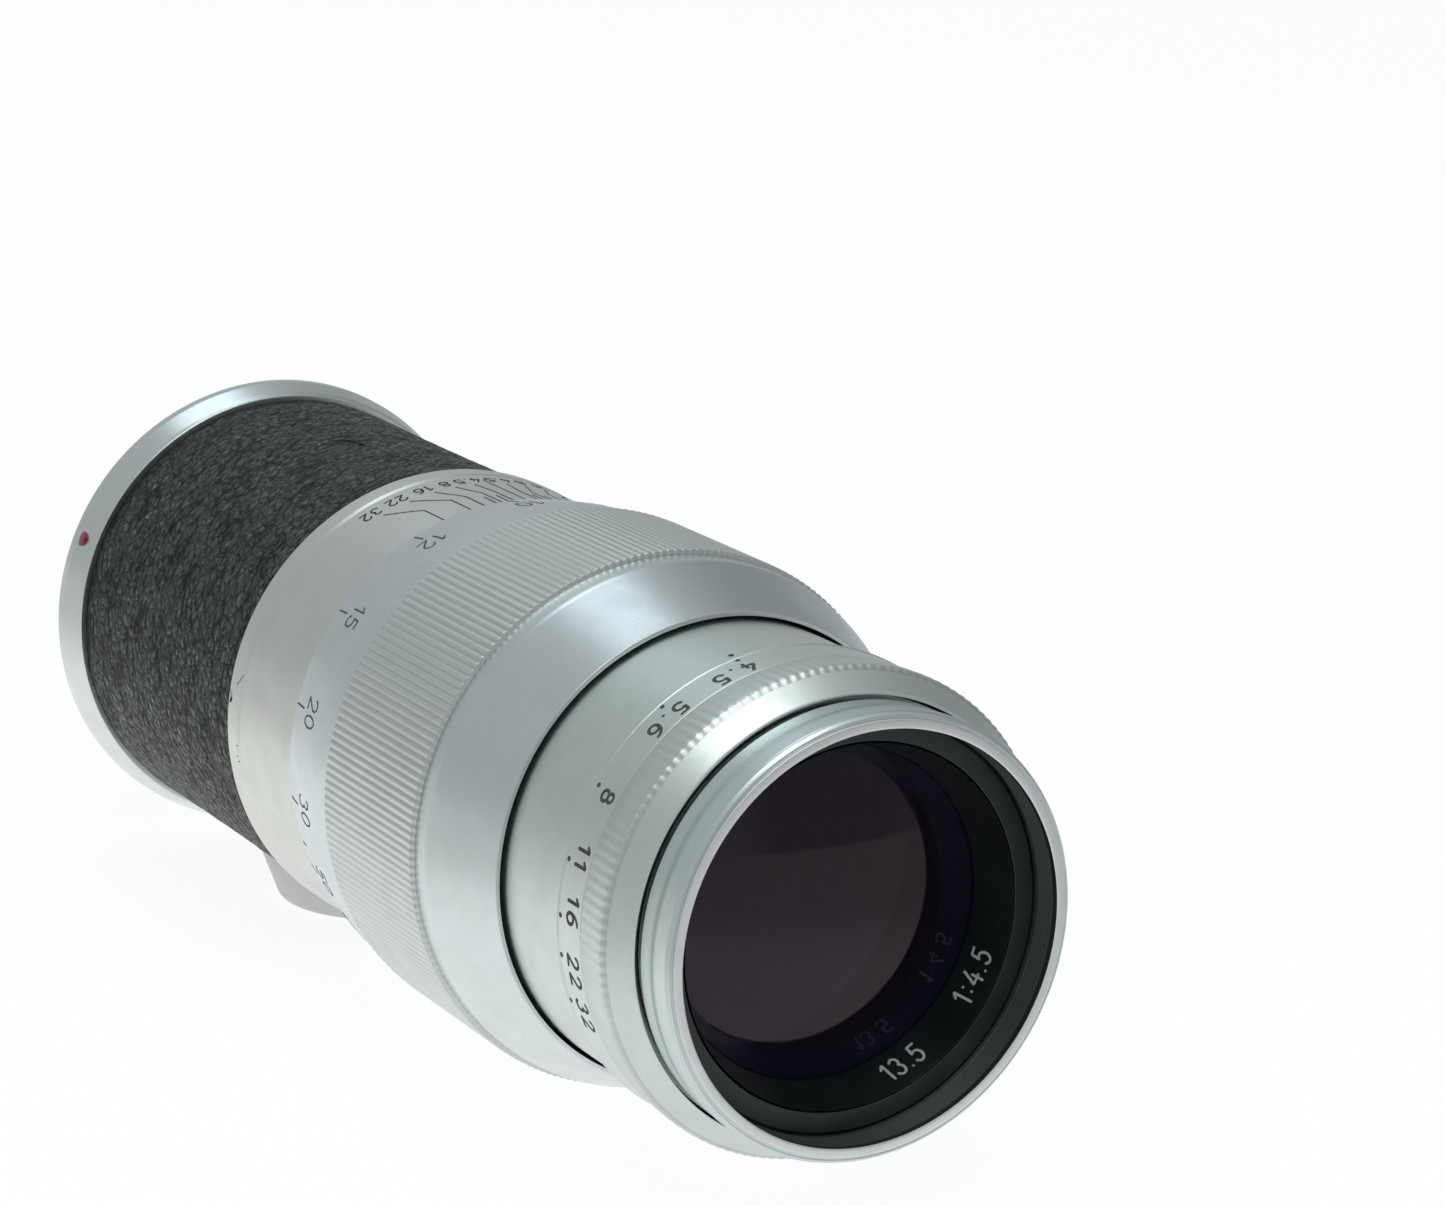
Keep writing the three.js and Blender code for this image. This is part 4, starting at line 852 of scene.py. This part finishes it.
# a sign's width and its strokes in a box 1 high: points (x, y) or arcs (x, y, radius x, radius y, from, to)
signs = {
    "0": (0.58, [[(0.28, 0.5, 0.26, 0.5, 90, 462)]]),
    "1": (0.36, [[(0.02, 0.76), (0.24, 1.0), (0.24, 0.0)]]),
    "2": (0.58, [[(0.28, 0.72, 0.25, 0.28, 168, -36), (0.04, 0.0), (0.56, 0.0)]]),
    "3": (0.58, [[(0.26, 0.76, 0.22, 0.24, 150, -72), (0.26, 0.28, 0.27, 0.28, 72, -152)]]),
    "4": (0.6, [[(0.38, 1.0), (0.02, 0.3), (0.58, 0.3)], [(0.43, 0.58), (0.43, 0.0)]]),
    "5": (0.58, [[(0.5, 1.0), (0.12, 1.0), (0.07, 0.54), (0.26, 0.32, 0.27, 0.32, 128, -148)]]),
    "6": (0.6, [[(0.5, 0.32, 0.47, 0.68, 92, 180), (0.29, 0.3, 0.26, 0.3, 180, 552)]]),
    "7": (0.56, [[(0.02, 1.0), (0.52, 1.0), (0.2, 0.0)]]),
    "8": (0.6, [[(0.29, 0.76, 0.21, 0.24, 270, 642)], [(0.29, 0.27, 0.26, 0.27, 90, 462)]]),
    "9": (0.6, [[(0.1, 0.68, 0.47, 0.68, 272, 360), (0.31, 0.7, 0.26, 0.3, 0, 372)]]),
    ".": (0.22, [[(0.1, 0.03), (0.1, 0.035)]]),
    ":": (0.3, [[(0.14, 0.22), (0.14, 0.225)], [(0.14, 0.72), (0.14, 0.725)]]),
    "i": (1.12, [[(0.27, 0.5, 0.25, 0.24, 30, 330), (0.83, 0.5, 0.25, 0.24, -150, 150), (0.5, 0.64)]]),
}


def strokePath(parts):
    # corners as they are, arcs as a point about every 14 degrees
    pieces = []
    for part in parts:
        if len(part) == 2:
            pieces.append(np.array([part], float))
        else:
            x, y, rx, ry, first, last = part
            turn = np.radians(np.linspace(first, last, max(3, int(abs(last - first) / 14))))
            pieces.append(np.column_stack([x + rx * np.cos(turn), y + ry * np.sin(turn)]))
    return np.concatenate(pieces)


def words(text, across, up, spacing=0.2):
    # strokes of a number, centred on x = 0 and standing on y = 0, with signs across wide and up high
    strokes, at = [], 0.0
    for sign in text:
        width, parts = signs[sign]
        strokes += [strokePath(p) * [across, up] + [at, 0] for p in parts]
        at += (width + spacing) * across
    return [s - [(at - spacing * across) / 2, 0] for s in strokes]


def line(*points):
    # one straight or bent stroke
    return [np.array(points, float)]


def dot(size=0.01):
    return line((0.0, 0.0), (0.0, size))


def inkGrid(path, width, surface, lift=0.02, sink=0.05):
    # a flat band along the path, laid on a surface that turns (x, y, height) into a place, with ends of
    # half width root(1 - t^2)
    half, tiny = width / 2, 1e-9
    gaps = np.linalg.norm(np.diff(path, axis=0), axis=1)
    length = np.concatenate([[0], np.cumsum(gaps)])
    total = max(length[-1], 1e-4)
    cap = half * (1 - np.cos(np.linspace(0, np.pi / 2, 6)))
    inner = np.linspace(0, total, max(2, int(total / 0.12)))
    corner = np.clip(length[1:-1], 0, total)
    at = np.unique(np.concatenate([cap - half, inner, corner, total + half - cap]))
    flat = np.column_stack([np.interp(at, length, path[:, k]) for k in range(2)])
    first = (path[1] - path[0]) / max(gaps[0], tiny)
    last = (path[-1] - path[-2]) / max(gaps[-1], tiny)
    flat += np.minimum(at, 0)[:, None] * first + np.maximum(at - total, 0)[:, None] * last
    beyond = np.clip(np.maximum(-at, at - total), 0, half) / half
    size = half * np.sqrt(1 - beyond ** 2)
    ahead = np.gradient(flat, axis=0)
    ahead /= np.maximum(np.linalg.norm(ahead, axis=1, keepdims=True), tiny)
    side = np.column_stack([-ahead[:, 1], ahead[:, 0]]) * size[:, None]
    loop = [(flat + side, -sink), (flat + side, lift), (flat - side, lift), (flat - side, -sink)]
    return gridFaces(np.stack([surface(p[:, 0], p[:, 1], h) for p, h in loop], 1), along=False)


def onRing(angle, base, radiusAt):
    # x runs down the left side, as an angle x / radius, and y to the front
    def surface(x, y, height):
        along = base - y
        radius = radiusAt(along)
        return turned(radius + height, along, np.radians(angle) - x / radius)
    return surface


def ringMarks(name, marks, width, radiusAt, finish, body, slot="black_anodised"):
    # marks are (strokes, angle, base), with strokes in millimetres on the ring
    grids = [inkGrid(path, width, onRing(angle, base, radiusAt))
             for strokes, angle, base in marks for path in strokes]
    addPiece(name, grids, finish, body, slot=slot, sharp=markAngle)


markAngle = 0.9  # radians; a mark's edges stay sharp only beyond this
leftSide = 88.3  # degrees from the image's left side to the top


def seen(angle):
    # from degrees above the image's left side to degrees round from the top
    return angle - leftSide


def evenRadius(radius):
    # a ring that is a plain cylinder
    return lambda along: radius + 0 * along


def numberMarks(plan, angles):
    return [(words(text, *plan["size"]), seen(at), plan["numbersAt"]) for text, at in angles]


apertureScale = {
    "radius": 23.12, "numbersAt": -120.05, "dotsAt": -118.78, "size": (2.0, 2.0, 0.36),
    # the angles of each number and of its dot
    "stops": {"4.5": (66.7, 70.5), "5.6": (47.5, 49.5), "8": (25.5, 26.9), "11": (11.0, 9.2),
              "16": (-1.5, -3.8), "22": (-15.6, -13.2), "32": (-26.8, -24.6)},
}
plan = apertureScale
numbers = numberMarks(plan, [(text, at) for text, (at, _) in plan["stops"].items()])
dots = [(dot(), seen(at), plan["dotsAt"]) for _, at in plan["stops"].values()]
ringMarks("aperture_numbers", numbers, 0.36, evenRadius(plan["radius"]), "wornInk", "aperture")
ringMarks("aperture_dots", dots, 0.5, evenRadius(plan["radius"]), "wornInk", "aperture")
ringMarks("head_dot", [(dot(), seen(72.6), -115.95)], 0.55, evenRadius(22.6), "ink", "head")

distanceScale = {
    "numbersAt": -67.2, "size": (2.25, 2.75), "ticksAt": -63.75, "tick": 2.3,
    "small": (-23.6, -64.6, 1.1),  # angle, y and length of the short tick between 30 and 50
    "feet": {"5": 249.0, "6": 189.3, "7": 149.2, "8": 120.3, "9": 98.6, "10": 81.6, "12": 56.8,
             "15": 32.6, "20": 9.3, "30": -13.0, "50": -30.6, "100": -43.5, "i": -56.2},
}
plan = distanceScale
marks = numberMarks(plan, plan["feet"].items())
marks += [(line((0, 0), (0, plan["tick"])), seen(at), plan["ticksAt"]) for at in plan["feet"].values()]
at, base, length = plan["small"]
marks.append((line((0, 0), (0, length)), seen(at), base))
ringMarks("distance_numbers", marks, 0.2, scaleRadius, "wornInk", "focusing")

depthScale = {
    "radius": 24.85, "middle": 88.2, "numbersAt": -51.3, "size": (1.6, 1.7),
    "index": (-52.2, 10.2), "short": (-59.5, 3.0),  # y and length of the index and of the short lines
    "bentAt": -54.0, "bent": (3.9, 8.6),  # the other lines slant up to the first of these heights
    # the angles where a stop's line ends and starts, and of its number
    "stops": {"32": (66.0, 59.2, 57.7), "22": (73.3, 66.7, 65.0), "16": (77.0, 73.3, 72.2),
              "8": (81.6, 78.9, 78.0), "4.5": (84.9, 83.9, 84.1)},
    "shorts": (80.2, 83.4),
}
mmPerDegree = depthScale["radius"] * np.pi / 180


def mirrored(angle, side):
    # as far from the middle of the scale, on the same side for 1 and the other for -1
    return depthScale["middle"] + side * (angle - depthScale["middle"])


plan = depthScale
middle, (base, length), (shortBase, shortLength) = plan["middle"], plan["index"], plan["short"]
lines, labels = [(line((0, 0), (0, length)), seen(middle), base)], []
for side in (1, -1):
    for text, angles in plan["stops"].items():
        end, start, label = [mirrored(angle, side) for angle in angles]
        bent = line(((end - start) * mmPerDegree, 0), *[(0, up) for up in plan["bent"]])
        lines.append((bent, seen(end), plan["bentAt"]))
        labels += numberMarks(plan, [(text, label)])
    lines += [(line((0, 0), (0, shortLength)), seen(mirrored(at, side)), shortBase) for at in plan["shorts"]]
ringMarks("depth_lines", lines, 0.15, evenRadius(plan["radius"]), "ink", "barrel")
ringMarks("depth_numbers", labels, 0.21, evenRadius(plan["radius"]), "ink", "barrel")

# small wear, as (degrees, y) points, on the depth ring and in the leather
wear = {
    "chip": [(2.7, -47.35), (2.1, -47.5), (1.7, -47.4)],
    "pit": [(1.0, -47.6), (0.4, -47.45)],
    "crack": [(7.9, -49.6), (6.9, -49.2), (6.3, -49.15), (5.5, -48.7), (4.9, -48.6)],
    "tear": [(74.99, -25.61), (76.9, -25.69), (78.44, -26.63), (79.2, -27.76), (79.34, -28.93)],
    "scuff": [(73.42, -15.76), (76.68, -14.83), (79.59, -14.25)],
    "specks": [(-9.6, -49.3), (-12.4, -49.1), (-13.6, -49.35)],
}


def wearMarks(points):
    # one stroke from degree 0 and y = 0: x is the arc back from the top, y the way forward
    return [(line(*[(-degrees * mmPerDegree, -y) for degrees, y in points]), seen(0), 0.0)]


def leatherRadius(along):
    # the waisted round, and a little more so that the mark stands clear of it
    return waistRadius((along - cover["front"]) / cover["length"]) + 0.02


def bandRadius(along):
    # the depth ring across its bevel
    return np.interp(along, [-50.0, -49.45], [24.85, 24.97])


for name, width, finish in (("chip", 0.42, "white"), ("pit", 0.4, "ink"), ("crack", 0.07, "wornInk")):
    ringMarks("wear_" + name, wearMarks(wear[name]), width, bandRadius, finish, "barrel")
for name in ("tear", "scuff"):
    ringMarks("wear_" + name, wearMarks(wear[name]), 0.22, leatherRadius, "ink", "barrel", "leather")
specks = [(dot(0.1), seen(degrees), y) for degrees, y in wear["specks"]]
ringMarks("wear_specks", specks, 0.16, bandRadius, "ink", "barrel")

nameNumbers = {"13.5": 149.5, "1:4.5": 113.0}  # the angles of the numbers on the name ring


def onName(angle):
    # on the name ring's cone, with tops to the axis: (radius, y) = outer edge + (margin + the number's y)
    # down the cone + height off it
    inner, outer = np.array([15.85, -126.55]), np.array([17.22, -131.25])
    margin = 1.35
    down = (inner - outer) / np.linalg.norm(inner - outer)
    up = np.array([down[1], -down[0]])
    up = up * np.sign(-up[0])

    def surface(x, y, height):
        flat = outer + (y[:, None] + margin) * down + height * up
        return turned(flat[:, 0], flat[:, 1], np.radians(angle) - x / flat[:, 0])
    return surface


grids = [inkGrid(path, 0.26, onName(angle))
         for text, angle in nameNumbers.items() for path in words(text, 1.75, 2.2, 0.22)]
addPiece("name_ring_numbers", grids, "white", "head", sharp=markAngle)
print("scales made")


# solids that show as they are and only get a finish
plainSolids = {
    "brass": ["barrel_tube", "bearing_ring", "focus_helicoid", "coupling_sleeve"],
    "steel": ["guide_rail", "rail_screw", "stop_pin", "foot_screw_1", "foot_screw_2", "focus_ring_screw_1",
              "focus_ring_screw_2", "focus_ring_screw_3", "aperture_link_screw"],
    "black": ["iris_drive_ring", "doublet_retainer"],
}
for finish, names in plainSolids.items():
    for name in names:
        nodes[name].data.materials.clear()
        nodes[name].data.materials.append(finishes[finish])


lightPool = {
    # in metres: the stretch of the axis that the pool follows, and how far from it the pool fades
    "middle": -0.065, "half": 0.068, "fade": (0.045, 0.11), "bright": 1.02, "dim": 0.62,
    "front": (0.085, 0.135), "frontLoss": 0.16,
    "shown": 1.06, "cover": 0.88, "matt": 0.82,  # the camera's white covers a matt one that keeps the shadow
}


def floorPaint():
    # White to the camera, with the shadow kept by a share of diffuse white. In the metal the floor is
    # bright near the lens's axis and dimmer further off and in front.
    pool = lightPool
    material = bpy.data.materials.new("pale_floor")
    start = emptyTree(material)
    x, y, _ = axes(start)
    beyond = ((y - pool["middle"]).math("ABSOLUTE") - pool["half"]).math("MAXIMUM", 0.0)
    away = (x * x + beyond * beyond).math("SQRT").step(*pool["fade"])
    front = 1 - (y * -1).step(*pool["front"]) * pool["frontLoss"]
    camera, glossy, through = [start.node("LightPath", output=f"Is {ray} Ray")
                               for ray in ("Camera", "Glossy", "Transmission")]
    level = (pool["bright"] - away * (pool["bright"] - pool["dim"])) * front
    level = level + camera * (pool["shown"] - level)
    shown = camera.math("MAXIMUM", glossy).math("MAXIMUM", through)
    matt = start.node("BsdfDiffuse", {"Color": (*[pool["matt"]] * 3, 1)})
    glow = start.node("Emission", {"Color": (1, 1, 1, 1), "Strength": level})
    mixed = start.node("MixShader", {0: shown * pool["cover"], 1: matt, 2: glow})
    start.node("OutputMaterial", {"Surface": mixed})
    return material


finishes["floor"] = floorPaint()
disc = lathe(np.array([(0.0, 0.0), (6000.0, 0.0)]), 64)
floor = meshPiece("floor", [gridFaces(disc, along=False)], "floor")
lying = Matrix.Rotation(np.pi / 2, 4, "X")
floor.data.transform(Matrix.Translation((0, -0.06, cadBox[0].z)) @ lying)

studioRoom = {
    # the middles of the darker side and of the darkest part, low in front, which the glass shows, and the
    # cosines between which they fade in
    "walls": (0.43, 0.45, 0.455), "shade": (0.26, 0.27, 0.275), "low": (0.24, 0.23, 0.24),
    "side": (0.769, 0.311, 0.559), "sideFade": (0.8, 0.95),
    "front": (0.475, -0.862, 0.175), "frontFade": (0.9, 0.96),
}


def makeRoom():
    # grey walls, seen only in the lens, with a shade that grows with the cosine to its middle; the camera
    # sees white
    world = bpy.context.scene.world = bpy.data.worlds.new("studio")
    toward = emptyTree(world, "Generated")
    side, front = [toward.node("VectorMath", {0: toward, 1: studioRoom[part]}, output="Value",
                               operation="DOT_PRODUCT") for part in ("side", "front")]
    colour = side.step(*studioRoom["sideFade"]).blend(studioRoom["walls"], studioRoom["shade"])
    colour = front.step(*studioRoom["frontFade"]).blend(colour, studioRoom["low"])
    room = toward.node("Background", {"Color": colour})
    white = toward.node("Background", {"Color": (1, 1, 1, 1)})
    camera = toward.node("LightPath", output="Is Camera Ray")
    mixed = toward.node("MixShader", {0: camera, 1: room, 2: white})
    toward.node("OutputWorld", {"Surface": mixed})


makeRoom()

softboxes = {
    "front": {"azimuth": -27, "elevation": 64, "distance": 1.0, "size": (0.62, 0.52), "radiance": 2.0,
              "tint": (1.0, 0.99, 0.97)},
    "rear": {"azimuth": -175, "elevation": 55, "distance": 1.0, "size": (0.38, 0.4), "radiance": 1.35,
             "tint": (0.8, 0.91, 1.0)},
}
lampAim = Vector((0, -0.09, 0))


def makeSoftbox(name, box):
    # power = radiance * pi * area; azimuth 0 is in front of the lens and 90 towards +X
    azimuth, elevation = np.radians(box["azimuth"]), np.radians(box["elevation"])
    level = np.cos(elevation)
    away = Vector((np.sin(azimuth) * level, -np.cos(azimuth) * level, np.sin(elevation)))
    data = bpy.data.lights.new(name, "AREA")
    data.shape = "RECTANGLE"
    data.size, data.size_y = box["size"]
    data.color = box["tint"]
    data.energy = box["radiance"] * np.pi * data.size * data.size_y
    lamp = addObject(name, data)
    lamp.location = lampAim + away * box["distance"]
    lamp.rotation_euler = away.to_track_quat("Z", "Y").to_euler()


for name, box in softboxes.items():
    makeSoftbox(name, box)
print("stage and lights made")
